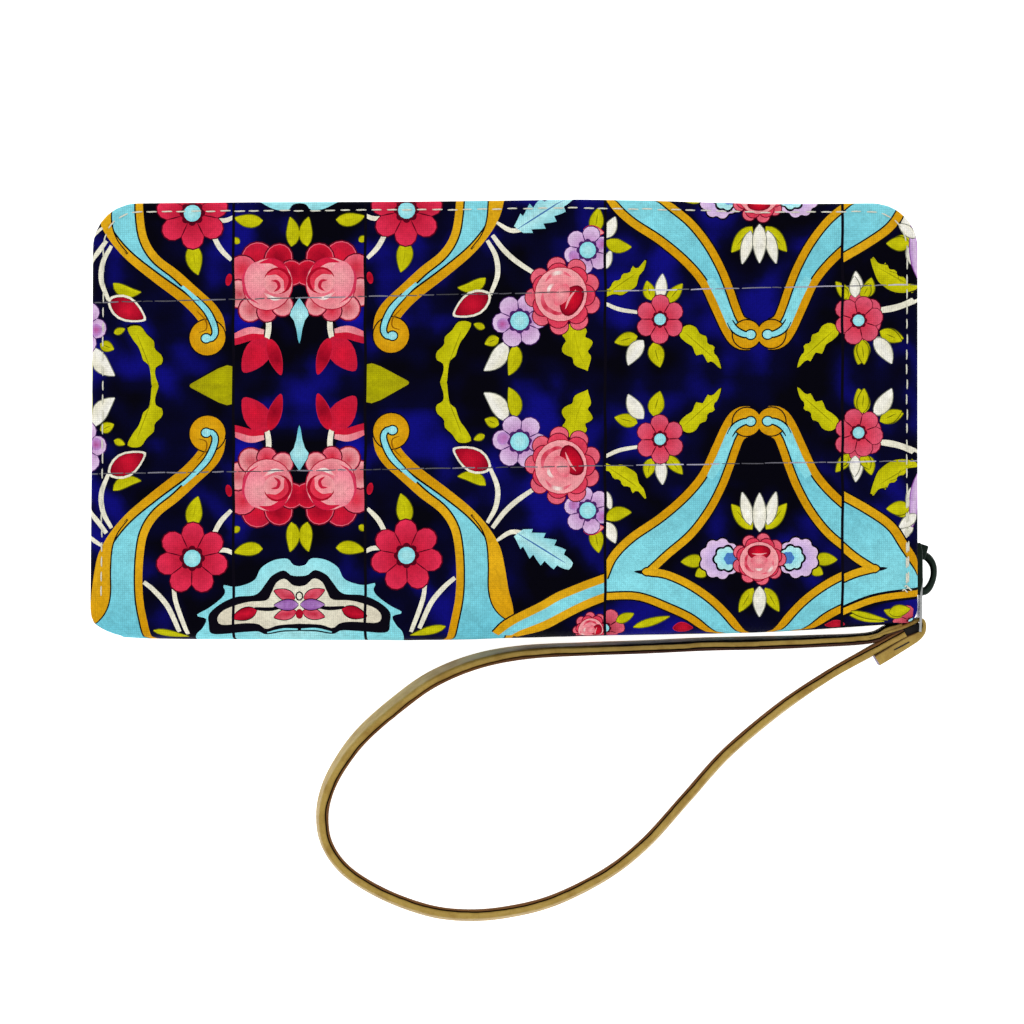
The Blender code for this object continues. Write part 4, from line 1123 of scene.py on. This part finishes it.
def mesh_normals(places, faces):
    """Each point's normal, weighted by the triangles round it."""
    a, b, c = (places[faces[:, k]] for k in range(3))
    across = np.cross(b - a, c - a)
    normals = np.zeros_like(places)
    for k in range(3):
        np.add.at(normals, faces[:, k], across)
    return normals / np.maximum(np.linalg.norm(normals, axis=1, keepdims=True), 1e-12)


CROWN = 0.9


def cloth(finish):
    """The printed cloth: front cover, back cover, and the spine that joins them."""
    shapes = make_print()
    points, faces, top = cloth_mesh(shapes, 1.6)
    colours = paint(points, faces, top, shapes)
    middles = points[faces].mean(axis=1)
    on_spine = middles[:, 1] < bottom_y(middles[:, 0]) + SPINE_ROLL
    halves = []
    for side, crown, relief in (("front", CROWN, 1.0), ("back", 0.0, 0.0)):
        places = cloth_surface(points, crown, relief)
        turned, shades = faces, colours
        if side == "back":
            places = places * [1, 1, -1] + [0, 0, TOP_Z]
            turned, shades = faces[:, ::-1], colours[:, ::-1]
        normals = mesh_normals(places, turned)
        cover = build_mesh(f"{side}_cover_cloth", places, turned[~on_spine], shades[~on_spine],
                           normals=normals, finish=finish)
        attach(cover, f"{side}_half")
        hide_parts(f"{side}_cover")
        halves.append((places, turned[on_spine], shades[on_spine], normals))
    count = len(points)
    spine = build_mesh(
        "spine_cloth", np.vstack([halves[0][0], halves[1][0]]),
        np.vstack([halves[0][1], halves[1][1] + count]), np.concatenate([halves[0][2], halves[1][2]]),
        normals=np.vstack([halves[0][3], halves[1][3]]), finish=finish,
    )
    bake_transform(spine)
    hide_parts("spine_cover")


# ---------------------------------------------------------------- strap

# The hidden end runs on under the fold, past the route's first point.
STRAP_HIDDEN_END = (94.2, -49.1, 10.5)
STRAP_ROUTE = (
    (91.0, -50.0, 10.5), (86.3, -51.9, 10.3), (72.0, -52.7, 8.9), (60.0, -53.1, 7.4), (48.0, -53.4, 6.0),
    (33.6, -54.1, 4.9), (19.3, -54.6, 4.7), (4.7, -55.4, 4.7), (-6.8, -57.6, 4.7), (-17.2, -61.9, 4.7),
    (-25.9, -68.1, 4.7), (-33.6, -74.9, 4.7), (-38.6, -81.3, 4.7), (-42.0, -87.8, 4.7), (-43.3, -94.4, 4.7),
    (-42.1, -101.3, 4.7), (-37.4, -107.6, 4.7), (-28.7, -113.0, 4.7), (-18.4, -116.8, 4.7),
    (-9.6, -118.0, 4.7), (0.0, -117.4, 4.7), (11.5, -114.6, 4.7), (24.0, -108.4, 4.7), (33.6, -100.9, 4.7),
    (43.3, -90.2, 4.7), (52.9, -79.5, 4.9), (65.4, -68.9, 5.6), (76.9, -60.9, 7.6), (86.3, -55.4, 9.8),
    (94.8, -50.6, 10.5),
)
STRAP_WIDTH, STRAP_THICK = 9.0, 2.4


STRAP_TAN, STRAP_EDGE, STRAP_TOP = (168, 139, 66), (171, 142, 68), (173, 144, 70)
STRAP_GLUE, STRAP_INNER = (26, 10, 6), (112, 72, 30)


def band_faces(rows, columns, closed=False, flip=False):
    """Triangles between rows of points that follow one another, joined round into rings when closed."""
    faces = []
    for k in range(rows - 1):
        for j in range(columns if closed else columns - 1):
            a, b = k * columns + j, k * columns + (j + 1) % columns
            pair = [(a, b, b + columns), (a, b + columns, a + columns)]
            faces += [f[::-1] for f in pair] if flip else pair
    return faces


def fan_faces(first, count, flip=False):
    """Triangles that close a ring of points."""
    fan = [(first, first + j, first + j + 1) for j in range(1, count - 1)]
    return [f[::-1] for f in fan] if flip else fan


def strap_section():
    """The doubled strap across: two plies on edge with a glue line between them, and each point's tone."""
    half, tall, line = STRAP_THICK / 2, STRAP_WIDTH / 2, -0.42
    side = [
        (half, 0.0, STRAP_TAN), (half, tall - 1.6, STRAP_TAN), (half, tall - 1.0, STRAP_TAN),
        (half - 0.08, tall - 0.40, STRAP_EDGE),
        (half - 0.34, tall - 0.06, STRAP_EDGE), (half - 0.50, tall, STRAP_TOP),
        (line + 0.62, tall, STRAP_TOP), (line + 0.20, tall - 0.12, STRAP_TAN),
        (line + 0.10, tall - 0.40, STRAP_GLUE), (line, tall - 0.60, STRAP_GLUE),
        (line - 0.12, tall - 0.36, STRAP_GLUE), (line - 0.20, tall - 0.10, STRAP_INNER),
        (-half + 0.22, tall - 0.06, STRAP_INNER), (-half + 0.04, tall - 0.36, STRAP_INNER),
        (-half, tall - 1.0, STRAP_TAN),
    ]
    return side + [(x, -y, c) for x, y, c in side[::-1] if y > 0]


def bump_at(t, middle, width):
    """1 at the middle, falling smoothly to 0 at width to either side."""
    return 0.5 + 0.5 * math.cos(math.pi * min(abs(t - middle) / width, 1))


def strap(finish):
    """The wrist loop, standing on its edge."""
    line = spline(np.array([STRAP_HIDDEN_END, *STRAP_ROUTE]), 1.0)
    side = sideways(line[:, :2])
    section = strap_section()
    count, last = len(section), len(line) - 1
    places, colours = [], []
    for k, (p, s) in enumerate(zip(line, side)):
        t = k / last
        ends = min(t / 0.10, (1 - t) / 0.10, 1)
        lean = math.radians((5.5 + 7.0 * bump_at(t, 0.37, 0.14) + 2.5 * bump_at(t, 0.62, 0.2)) * ends)
        wobble = 0.14 * noise.noise((t * 60, 0.3, 2.2)) + 0.08 * noise.noise((t * 200, 1.3, 2.2))
        # Painted shade on the upper strand near the fold: the upper part of its outer face goes near-black
        # and its inner ply darker.
        painted_shade = min(max((0.30 - t) / 0.10, 0), 1)
        open_line = 1 - 0.85 * bump_at(t, 0.33, 0.12) - 0.5 * bump_at(t, 0.85, 0.1)
        cos, sin = math.cos(lean), math.sin(lean)
        for x, y, tone in section:
            shade = linear(tone)
            # How strongly this point's outer face takes the painted shade, fading out down the face.
            dark = painted_shade * min(max((y + 3.0) / 2.5, 0), 1) if x > 0 else 0
            across = x + (wobble if abs(x) < 1.0 and abs(y) > 3.5 else 0)
            if tone is STRAP_GLUE:
                shade = shade * open_line + linear(STRAP_INNER) * (1 - open_line)
            if tone in (STRAP_TAN, STRAP_EDGE):
                shade = shade * (1 - dark) + linear((8, 5, 5)) * dark
            # Painted shade: the inner ply darkens near the fold.
            if tone is STRAP_INNER:
                shade = shade * (1 - 0.8 * painted_shade) + linear((48, 14, 12)) * 0.8 * painted_shade
            u, w = across * cos - y * sin, across * sin + y * cos
            places.append((p[0] - s[0] * u, p[1] - s[1] * u, max(p[2] + w, 0.12)))
            colours.append(shade)
    faces = band_faces(len(line), count, closed=True)
    faces += fan_faces(0, count, flip=True) + fan_faces(last * count, count)
    places, faces, colours = np.array(places), np.array(faces), np.array(colours)
    obj = build_mesh("wrist_strap_leather", places, faces, colours[faces], "ply", finish=finish)
    obj.data.set_sharp_from_angle(angle=math.radians(60))
    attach(obj, "wrist_strap")
    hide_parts("wrist_strap")
    length = float(np.linalg.norm(np.diff(line, axis=0), axis=1).sum()) * MM
    return obj, line, length


def fold_shape():
    """The strap's end from above, round the pull's bar to the tab: line and half thickness."""
    line = [(86.4, -51.8), (88.8, -51.0), (91.6, -50.1), (94.6, -49.1), (96.7, -48.2), (98.1, -47.5),
            (99.1, -47.8), (99.35, -49.1), (98.9, -50.4), (97.6, -51.5), (95.6, -52.6), (92.8, -54.3),
            (90.4, -55.8), (88.2, -57.1)]
    thick = [0.06, 0.3, 0.5, 0.52, 0.5, 0.5, 0.5, 0.54, 0.78, 1.1, 1.32, 1.38, 1.38, 1.38]
    line = np.array([(x, y, t) for (x, y), t in zip(line, thick)])
    return spline(line, 0.45)


def strap_fold(finish):
    """The folded end that holds the pull: a doubled tab with a stitched slot, its inner faces painted
    near-black as painted shade inside the fold.
    """
    shape = fold_shape()
    line, half = shape[:, :2], shape[:, 2]
    side = sideways(line)
    tall, last = STRAP_WIDTH / 2, len(line) - 1
    edge, face, dark = STRAP_EDGE, STRAP_TAN, (18, 9, 8)
    places, colours = [], []
    for k, (p, s, h) in enumerate(zip(line, side, half)):
        # Painted shade: the faces inside the fold are near-black, dark brown towards the tab's end.
        inside_tone = dark if k < last - 24 else (64, 36, 22)
        ring = [(h, 0.0, face), (h, tall - 0.8, face), (h * 0.92, tall - 0.2, edge),
                (h * 0.6, tall + 0.06, edge), (0.0, tall + 0.1, edge), (-h * 0.6, tall + 0.06, edge),
                (-h * 0.9, tall - 0.12, inside_tone), (-h, tall - 0.8, inside_tone)]
        ring += [(x, -y, c) for x, y, c in ring[::-1] if y > 0]
        for u, w, tone in ring:
            places.append((p[0] + s[0] * u, p[1] + s[1] * u, HALF_Z + w))
            colours.append(linear(tone))
    count = len(ring)
    faces = band_faces(len(line), count, closed=True, flip=True)
    places, colours = np.array(places), np.array(colours)
    cut_tone = linear((120, 108, 170))
    for first in (0, last * count):
        base = len(places)
        places = np.vstack([places, places[first:first + count]])
        colours = np.vstack([colours, np.tile(cut_tone, (count, 1))])
        faces += fan_faces(base, count, flip=first > 0)
    faces = np.array(faces)
    obj = build_mesh("strap_fold_leather", places, faces, colours[faces], "ply", finish=finish)
    obj.data.set_sharp_from_angle(angle=math.radians(60))
    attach(obj, "wrist_strap")
    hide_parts("strap_end_fold")
    return obj


def strap_core(finish):
    """The near-black filling between the two strand ends inside the fold, a painted shadow in the gap, and
    the dark thread of the tab's slot.
    """
    outline = [(90.6, -51.6), (94.6, -49.9), (97.0, -48.9), (98.4, -48.3), (98.8, -49.2), (98.2, -50.4),
               (96.6, -51.3), (94.0, -52.5), (91.6, -53.9), (89.6, -54.9), (88.6, -54.4)]
    # A near-black solid standing in for the shadow inside the fold.
    core = prism("strap_fold_shade_fill", outline, HALF_Z - 3.6, HALF_Z + 3.6, finish, "wrist_strap")
    slot = np.array([(92.2, -54.6, 15.05), (93.4, -54.0, 15.12), (94.6, -53.35, 15.12), (95.8, -52.7, 15.05)])
    thread = solid("strap_fold_slot", tube(slot, 0.18, 6), finish, "wrist_strap", angle=180)
    return core, thread


# ---------------------------------------------------------------- small solids

def join(*parts):
    """One mesh's points and triangles from several."""
    places, faces, offset = [], [], 0
    for p, f in parts:
        places.append(np.asarray(p, float))
        faces.append(np.asarray(f, int) + offset)
        offset += len(p)
    return np.vstack(places), np.vstack(faces)


def tube(points, radius, sides=8):
    """A round wire along points. radius is one number or one per point."""
    points = np.asarray(points, float)
    radius = np.broadcast_to(radius, len(points))
    ahead = np.gradient(points, axis=0)
    ahead /= np.maximum(np.linalg.norm(ahead, axis=1, keepdims=True), 1e-9)
    side = np.cross(ahead[0], (0.0, 0.0, 1.0) if abs(ahead[0][2]) < 0.8 else (1.0, 0.0, 0.0))
    places = []
    for p, t, r in zip(points, ahead, radius):
        side = side - t * side.dot(t)
        side /= np.linalg.norm(side)
        up = np.cross(t, side)
        for k in range(sides):
            a = 2 * math.pi * k / sides
            places.append(p + (side * math.cos(a) + up * math.sin(a)) * r)
    faces = band_faces(len(points), sides, closed=True)
    faces += fan_faces(0, sides, flip=True) + fan_faces((len(points) - 1) * sides, sides)
    return places, faces


def solid(name, data, finish, body, bevel=0.0, angle=40, colours=None):
    """A finished piece from points and triangles in millimetres, riding a body."""
    places, faces = np.asarray(data[0], float), np.asarray(data[1], int)
    obj = build_mesh(name, places, faces, colours, finish=finish)
    obj.data.set_sharp_from_angle(angle=math.radians(angle))
    if bevel:
        soften(obj, bevel)
    if body is not None:
        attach(obj, body)
    return obj


def soften(obj, width, segments=2):
    """Rounded edges."""
    modifier = obj.modifiers.new("edges", "BEVEL")
    modifier.width = width * MM
    modifier.segments = segments
    modifier.limit_method = "ANGLE"
    modifier.angle_limit = math.radians(35)


def prism_data(outline, low, high):
    """An upright solid on a convex or nearly convex outline."""
    flat = [Vector((float(x), float(y))) for x, y in outline]
    made = geometry.delaunay_2d_cdt(flat, [], [list(range(len(flat)))], 1, 1e-5, False)
    points = np.array([tuple(v) for v in made[0]])
    n = len(points)
    places = np.vstack([np.column_stack([points, np.full(n, low)]),
                        np.column_stack([points, np.full(n, high)])])
    faces = []
    for f in made[2]:
        for k in range(1, len(f) - 1):
            tri = (f[0], f[k], f[k + 1])
            faces += [tuple(n + v for v in tri), tri[::-1]]
    edge = {}
    for a, b, c in [f for f in faces if max(f) < n]:
        for e in ((a, b), (b, c), (c, a)):
            edge[e] = edge.get(e, 0) + 1
    for a, b in list(edge):
        if (b, a) not in edge:
            faces += [(b, a, a + n), (b, a + n, b + n)]
    return places, faces


def prism(name, outline, low, high, finish, body, bevel=0.0):
    """A finished upright solid between two heights."""
    return solid(name, prism_data(outline, low, high), finish, body, bevel)


def dress(node, finish, bevel=0.0, segments=2):
    """A CAD node shown as it is, with its finish and rounded edges."""
    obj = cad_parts[node]
    obj.data.materials.clear()
    obj.data.materials.append(finish)
    if bevel:
        soften(obj, bevel, segments)


# ---------------------------------------------------------------- stitches

def on_cover(points, side):
    """Places and normals on a cover's cloth, for points of its flat plane."""
    crown, relief = (CROWN, 1.0) if side == "front" else (0.0, 0.0)
    step = 0.08
    at = cloth_surface(points, crown, relief)
    along_x, along_y = (
        cloth_surface(points + way, crown, relief) - cloth_surface(points - way, crown, relief)
        for way in ([step, 0], [0, step])
    )
    normal = np.cross(along_x, along_y)
    normal /= np.maximum(np.linalg.norm(normal, axis=1, keepdims=True), 1e-9)
    if side == "back":
        at, normal = at * [1, 1, -1] + [0, 0, TOP_Z], normal * [1, 1, -1]
    return at, normal


def dash(places, normals, radius, lift, sides=6):
    """One stitch: a thread that comes up, lies on the surface and goes back down."""
    t = np.linspace(0, 1, len(places))
    rise = lift * np.sin(math.pi * t) ** 0.5 - radius * 1.1 * (np.abs(2 * t - 1) ** 3)
    thick = radius * (0.62 + 0.38 * np.sin(math.pi * t) ** 0.5)
    return tube(places + normals * rise[:, None], thick, sides)


def topstitch(side, finish):
    """The row of stitches round the cover's three free edges."""
    rows = []
    inset = STITCH_INSET * EDGE_OUT[:, 0] ** 2 + TOP_STITCH_INSET * EDGE_OUT[:, 1] ** 2
    line = (EDGE - EDGE_OUT * inset[:, None])[EDGE[:, 1] > STITCH_START_Y]
    whole = lengths(line)[-1]
    rand = random.Random(11 if side == "front" else 12)
    start = 0.4
    while start + STITCH_PITCH * 0.8 < whole:
        length = STITCH_PITCH * rand.uniform(0.70, 0.80)
        flat = points_at(line, np.linspace(start, start + length, 7))
        if flat[0, 0] > 0 and flat[0, 1] < STITCH_END_Y:
            break
        flat += [rand.uniform(-0.10, 0.10), rand.uniform(-0.10, 0.10)]
        places, normals = on_cover(flat, side)
        heavy = flat[0, 0] > HEAVY_STITCH_X and flat[0, 1] < HEAVY_STITCH_Y
        rows.append(dash(places, normals, 0.29 if heavy else 0.18, 0.22))
        if heavy:
            slip = flat + [0.42, 0.3]
            places, normals = on_cover(slip, side)
            rows.append(dash(places, normals, 0.20, 0.15))
        start += STITCH_PITCH * rand.uniform(0.95, 1.05)
    if side == "front":
        for shift in ((0, 0), (0.5, -0.5), (-0.5, -0.9)):
            knot = np.array([(k * 0.25, 0.3 * math.sin(k)) for k in range(6)]) + KNOT_AT + shift
            places, normals = on_cover(knot, side)
            rows.append(tube(places + normals * 0.3, 0.17, 6))
    solid(f"{side}_topstitch", join(*rows), finish, f"{side}_half", angle=180)


def page_stitches(name, body, finish, rows):
    """Rows of stitches along straight page edges: (x from, x to, y, z, which way is up)."""
    parts = []
    for x0, x1, y, z, up in rows:
        x = x0
        while x + 2.2 < x1:
            xs = np.linspace(x, x + 2.0, 5)
            places = np.stack([xs, np.full(5, y), np.full(5, z)], axis=1)
            normals = np.tile([0.0, 0.0, float(up)], (5, 1))
            parts.append(dash(places, normals, 0.14, 0.10, 5))
            x += 2.9
    solid(name, join(*parts), finish, body, angle=180)


# ---------------------------------------------------------------- zip

TAPE_INSET = 1.6


def zip_line(end_right, step):
    """The zip's line from its left end up, along the top and down the right side."""
    radius = CORNER_RADIUS - TAPE_INSET
    line = [(LEFT_X + TAPE_INSET, -43.5), (LEFT_X + TAPE_INSET, -10)]
    line += arc((LEFT_X + 0.5 + TAPE_INSET + radius, TOP_Y - TAPE_INSET - radius), radius, 180, 90, 12)
    line += arc((RIGHT_X - TAPE_INSET - radius, TOP_Y - TAPE_INSET - radius), radius, 90, 0, 12)
    line += [(RIGHT_X - TAPE_INSET, -10), (RIGHT_X - TAPE_INSET, end_right)]
    line = np.array(line)
    return points_at(line, np.arange(0, lengths(line)[-1], step))


TOOTH = ((-0.55, 0.0), (-0.5, 1.0), (-0.30, 1.5), (-0.28, 1.9), (-0.42, 2.2), (-0.42, 2.7), (-0.25, 3.0),
         (0.25, 3.0), (0.42, 2.7), (0.42, 2.2), (0.28, 1.9), (0.30, 1.5), (0.5, 1.0), (0.55, 0.0))


def tooth_row(line, depth, low, up, scale=1.0, shift=0.5):
    """Zip teeth along a line that alternate with those of the other row."""
    ahead = np.gradient(line, axis=0)
    ahead /= np.linalg.norm(ahead, axis=1, keepdims=True)
    profile = np.array(TOOTH) * scale
    n = len(profile)
    faces = band_faces(4, n, closed=True, flip=True) + fan_faces(0, n) + fan_faces(3 * n, n, flip=True)
    faces = np.array(faces)
    if up < 0:
        faces = faces[:, ::-1]
    parts = []
    for k in range(len(line) - 1):
        at = line[k] + (line[k + 1] - line[k]) * shift
        t = ahead[k]
        out = np.array([-t[1], t[0]])
        places = []
        for n_out, size in ((-1.0, 0.78), (-0.8, 1.0), (0.8, 1.0), (1.0, 0.78)):
            for u, w in profile:
                flat = at + t * u * size + out * n_out * depth / 2
                places.append((flat[0], flat[1],
                               low + up * (w if 0 < w < 2.6 * scale else w * (0.5 + size / 2))))
        parts.append((places, faces))
    return join(*parts)


def zip_rows(finish, cord_finish):
    """Both rows of interlocking teeth, with the rolled tape edge they are crimped to."""
    for side, up, low, shift in (("back", 1, 7.95, 0.25), ("front", -1, 13.05, 0.75)):
        line = zip_line(-38.6, 1.8)
        obj = solid(f"{side}_zip_teeth_row", tooth_row(line, 2.2, low, up, 1.0, shift), finish,
                    f"{side}_half")
        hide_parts(f"{side}_zip_teeth")
        rope = zip_line(-45.0, 2.4)
        rope = np.column_stack([rope, np.full(len(rope), low - up * 0.1)])
        solid(f"{side}_zip_cord", tube(rope, 0.62, 8), cord_finish, f"{side}_half", angle=180)


def coin_zip(finish):
    """The coin pocket's finer teeth."""
    for side, up, low, shift in (("back", 1, 9.7, 0.25), ("front", -1, 11.3, 0.75)):
        line = np.stack([np.arange(-80, 80, 0.9), np.full(178, 29.65)], axis=1)
        obj = solid(f"coin_teeth_{side}", tooth_row(line, 1.5, low, up, 0.32, shift), finish, "coin_pocket")
        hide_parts(f"coin_zip_teeth_{side}")


def slider(finish):
    """The zip's slider: its plates and lips, the square lug and the arched crown."""
    dress("zip_slider", finish, 0.22, 3)
    shell = [(97.5, -29.4), (98.6, -29.4), (99.0, -31.5), (99.05, -38.5), (98.5, -41.0), (97.5, -41.4)]
    prism("slider_shell", shell, HALF_Z - 4.3, HALF_Z + 4.3, finish, "zip_slider", 0.25)
    lug = np.array([(97.9, -29.2), (100.6, -30.1), (99.7, -33.3), (98.1, -33.0), (97.9, -31)])
    prism("slider_lug", lug, HALF_Z - 1.9, HALF_Z + 1.9, finish, "zip_slider", 0.25)
    route = spline([(99.3, -32.2), (100.6, -32.9), (101.7, -34.6), (101.9, -36.8), (101.3, -38.9),
                    (100.2, -40.5), (98.6, -41.0)], 0.35)
    route = np.column_stack([route, np.full(len(route), HALF_Z)])
    t = np.linspace(0, 1, len(route))
    crown = solid("slider_arch", tube(route, 0.88 + 0.10 * np.cos(6.28 * t), 14), finish, "zip_slider",
                  angle=180)
    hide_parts("slider_crown")


def pull(finish):
    """The silver pull, a thin tapered frame."""
    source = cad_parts["zip_pull"]
    world = source.matrix_world
    places = np.array([tuple(world @ v.co) for v in source.data.vertices]) / MM
    top, foot = np.array((99.4, -38.1)), np.array((98.3, -49.8))
    lean = np.clip((top[1] - places[:, 1]) / (top[1] - foot[1]), 0, 1)
    middle = top[0] + (foot[0] - top[0]) * lean
    aim = 98.9 + (98.3 - 98.9) * lean
    places[:, 0] = aim + (places[:, 0] - middle) * 0.62
    faces = [tuple(p.vertices) for p in source.data.polygons]
    obj = solid("pull_frame", (places, faces), finish, "zip_pull", 0.12, 30)
    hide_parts("zip_pull")


# ---------------------------------------------------------------- inside

SPINE_LOW, SPINE_HIGH = 3.1, 17.9
GUSSET_LOW, GUSSET_HIGH = 4.0, 17.0


def spine_line(z):
    """How far down the inside of the spine lies at height z."""
    return -46.2 - 2.6 * math.sin(math.pi * (z - SPINE_LOW) / (SPINE_HIGH - SPINE_LOW)) ** 0.6


def gusset(name, side, finish):
    """A pleated side wall of lining cloth with soft folds."""
    rows = []
    folds = 6
    for k in range(folds * 6 + 1):
        t = k / 6
        z = GUSSET_LOW + (GUSSET_HIGH - GUSSET_LOW) * t / folds
        swing = 0.5 + 0.5 * math.cos(math.pi * t)
        swing = ease(swing) * 0.3 + swing * 0.7
        rows.append((88.2 + 4.4 * swing, z))
    places, n = [], 29
    for x, z in rows:
        for y in np.linspace(spine_line(z), 36, n):
            sag = 0.25 * noise.noise((x * 0.2 + side, y * 0.09, z * 0.12))
            places.append((side * (x + sag), y, z))
    obj = solid(name + "_cloth", (places, band_faces(len(rows), n)), finish, None, angle=180)
    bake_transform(obj)
    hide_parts(name)


def spine_lining(finish):
    """The lining that runs across the inside of the spine from one cover to the other."""
    xs = np.linspace(-92.6, 93, 60)
    places, rows = [], 15
    for k in range(rows):
        t = k / (rows - 1)
        z = 3.1 + 14.79 * t
        y = spine_line(z)
        for x in xs:
            places.append((x, y + 0.35 * noise.noise((x * 0.06, t * 2, 4.4)) * math.sin(math.pi * t), z))
    faces = band_faces(rows, len(xs), flip=True)
    obj = solid("spine_lining", (places, faces), finish, None, angle=180)
    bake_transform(obj)


def lining_material():
    """Dark twill lining."""
    n = Nodes("lining")
    split = n.new("ShaderNodeSeparateXYZ")
    n.link(n.position(), split.inputs[0])
    slope = n.math("ADD", split.outputs[0], split.outputs[1])
    twill = n.math("ABSOLUTE", n.math("SINE", n.math("MULTIPLY", slope, math.pi / 0.0006)))
    speck = n.noise(1800, 3)
    tone = n.math("ADD", n.math("MULTIPLY", twill, 0.5), n.math("MULTIPLY", speck, 0.5))
    n.colour(n.ramp(tone, ((0.2, linear((18, 20, 44))), (0.8, linear((48, 50, 84))))))
    n.set(Roughness=0.8, Specular_IOR_Level=0.2)
    n.bump(tone, 0.4, 0.00012)
    return n.material


def page_material():
    """Grained dark page leather."""
    n = Nodes("page_leather")
    cells = n.new("ShaderNodeTexVoronoi", Scale=1400.0)
    n.link(n.position(), cells.inputs["Vector"])
    wear = n.noise(90, 4)
    n.colour(n.ramp(wear, ((0.3, linear((58, 38, 30))), (0.7, linear((88, 60, 46))))))
    n.link(n.ramp(wear, ((0.3, (0.58,) * 3), (0.7, (0.44,) * 3))), n.shader.inputs["Roughness"])
    n.bump(cells.outputs["Distance"], 0.35, 0.0001)
    return n.material


def tape_material():
    """Woven zip tape with ribs along its length."""
    n = Nodes("zip_tape")
    split = n.new("ShaderNodeSeparateXYZ")
    n.link(n.position(), split.inputs[0])
    ribs = n.math("ABSOLUTE", n.math("SINE", n.math("MULTIPLY", split.outputs[2], math.pi / 0.0008)))
    slope = n.math("ADD", split.outputs[0], split.outputs[1])
    ticks = n.math("ABSOLUTE", n.math("SINE", n.math("MULTIPLY", slope, math.pi / 0.0006)))
    height = n.math("MULTIPLY", ribs, ticks)
    n.colour(n.ramp(height, ((0.1, linear((8, 8, 9))), (0.9, linear((30, 30, 32))))))
    n.set(Roughness=0.85, Specular_IOR_Level=0.15)
    n.bump(height, 0.6, 0.00015)
    return n.material


def board_material():
    """Grey fibre board."""
    n = Nodes("board")
    fibre = n.noise(700, 5, 0.7)
    n.colour(n.ramp(fibre, ((0.3, linear((120, 108, 88))), (0.7, linear((158, 146, 122))))))
    n.set(Roughness=0.92, Specular_IOR_Level=0.15)
    n.bump(fibre, 0.4, 0.0001)
    return n.material


def inside_parts(lining, page, tape, teeth, silver, board, thread):
    """Boards, linings, card slots, dividers and the coin pocket."""
    for side, up in (("back", 1), ("front", -1)):
        dress(f"{side}_board", board, 0.15)
        dress(f"{side}_lining", lining, 0.12)
        dress(f"{side}_zip_tape", tape)
        rows = []
        for k in range(1, 5):
            node = f"{side}_card_slot_{k}"
            dress(node, page, 0.12, 3)
            low, high = part_box(node)
            z = high[2] if up > 0 else low[2]
            rows.append((low[0] + 3, high[0] - 3, high[1] - 1.5, z, up))
        page_stitches(f"{side}_slot_stitches", f"{side}_half", thread, rows)
        divider = f"{side}_divider"
        dress(divider, page, 0.15, 3)
        low, high = part_box(divider)
        page_stitches(f"{side}_divider_stitches", divider, thread,
                      [(low[0] + 3, high[0] - 3, high[1] - 1.6, high[2], 1),
                       (low[0] + 3, high[0] - 3, high[1] - 1.6, low[2], -1)])
        pocket = f"coin_pocket_{side}"
        dress(pocket, page, 0.15, 3)
        low, high = part_box(pocket)
        outer = low[2] if side == "back" else high[2]
        page_stitches(f"coin_stitches_{side}", "coin_pocket", thread,
                      [(low[0] + 3, high[0] - 3, high[1] - 1.8, outer, -up)])
        dress(f"coin_zip_tape_{side}", tape)
        dress(f"zip_top_stop_{side}", teeth)
    dress("zip_bottom_stop", teeth)
    dress("coin_zip_slider", silver, 0.2, 3)
    dress("coin_zip_pull", silver, 0.2, 3)


# ---------------------------------------------------------------- making

camera()
studio()
PRINTED = print_material()
STRAP_LEATHER = leather_material("strap_leather", "ply")
CREAM_THREAD = thread_material("cream_thread", (232, 230, 212))
DARK_THREAD = thread_material("dark_thread", (70, 60, 56))
LINING, PAGE, TAPE, BOARD = lining_material(), page_material(), tape_material(), board_material()
TEETH = metal_material("zip_teeth", (26, 27, 28), 0.42, 0.2)
BLACK_METAL = metal_material("black_metal", (34, 44, 38), 0.32)
SILVER = metal_material("silver_metal", (205, 207, 206), 0.22)
# Near-black finish for the painted shadow inside the strap's fold and for the fold's slot thread.
FOLD_SHADE_AND_THREAD = thread_material("strap_fold_shade_and_thread", (16, 8, 8))

strap_obj, strap_line, strap_length = strap(STRAP_LEATHER)
fold_obj = strap_fold(STRAP_LEATHER)
core_obj = strap_core(FOLD_SHADE_AND_THREAD)
cloth(PRINTED)
topstitch("front", CREAM_THREAD)
topstitch("back", CREAM_THREAD)
zip_rows(TEETH, TAPE)
slider(BLACK_METAL)
pull(SILVER)
gusset("left_gusset", -1, LINING)
gusset("right_gusset", 1, LINING)
spine_lining(LINING)
coin_zip(TEETH)
inside_parts(LINING, PAGE, TAPE, TEETH, SILVER, BOARD, DARK_THREAD)
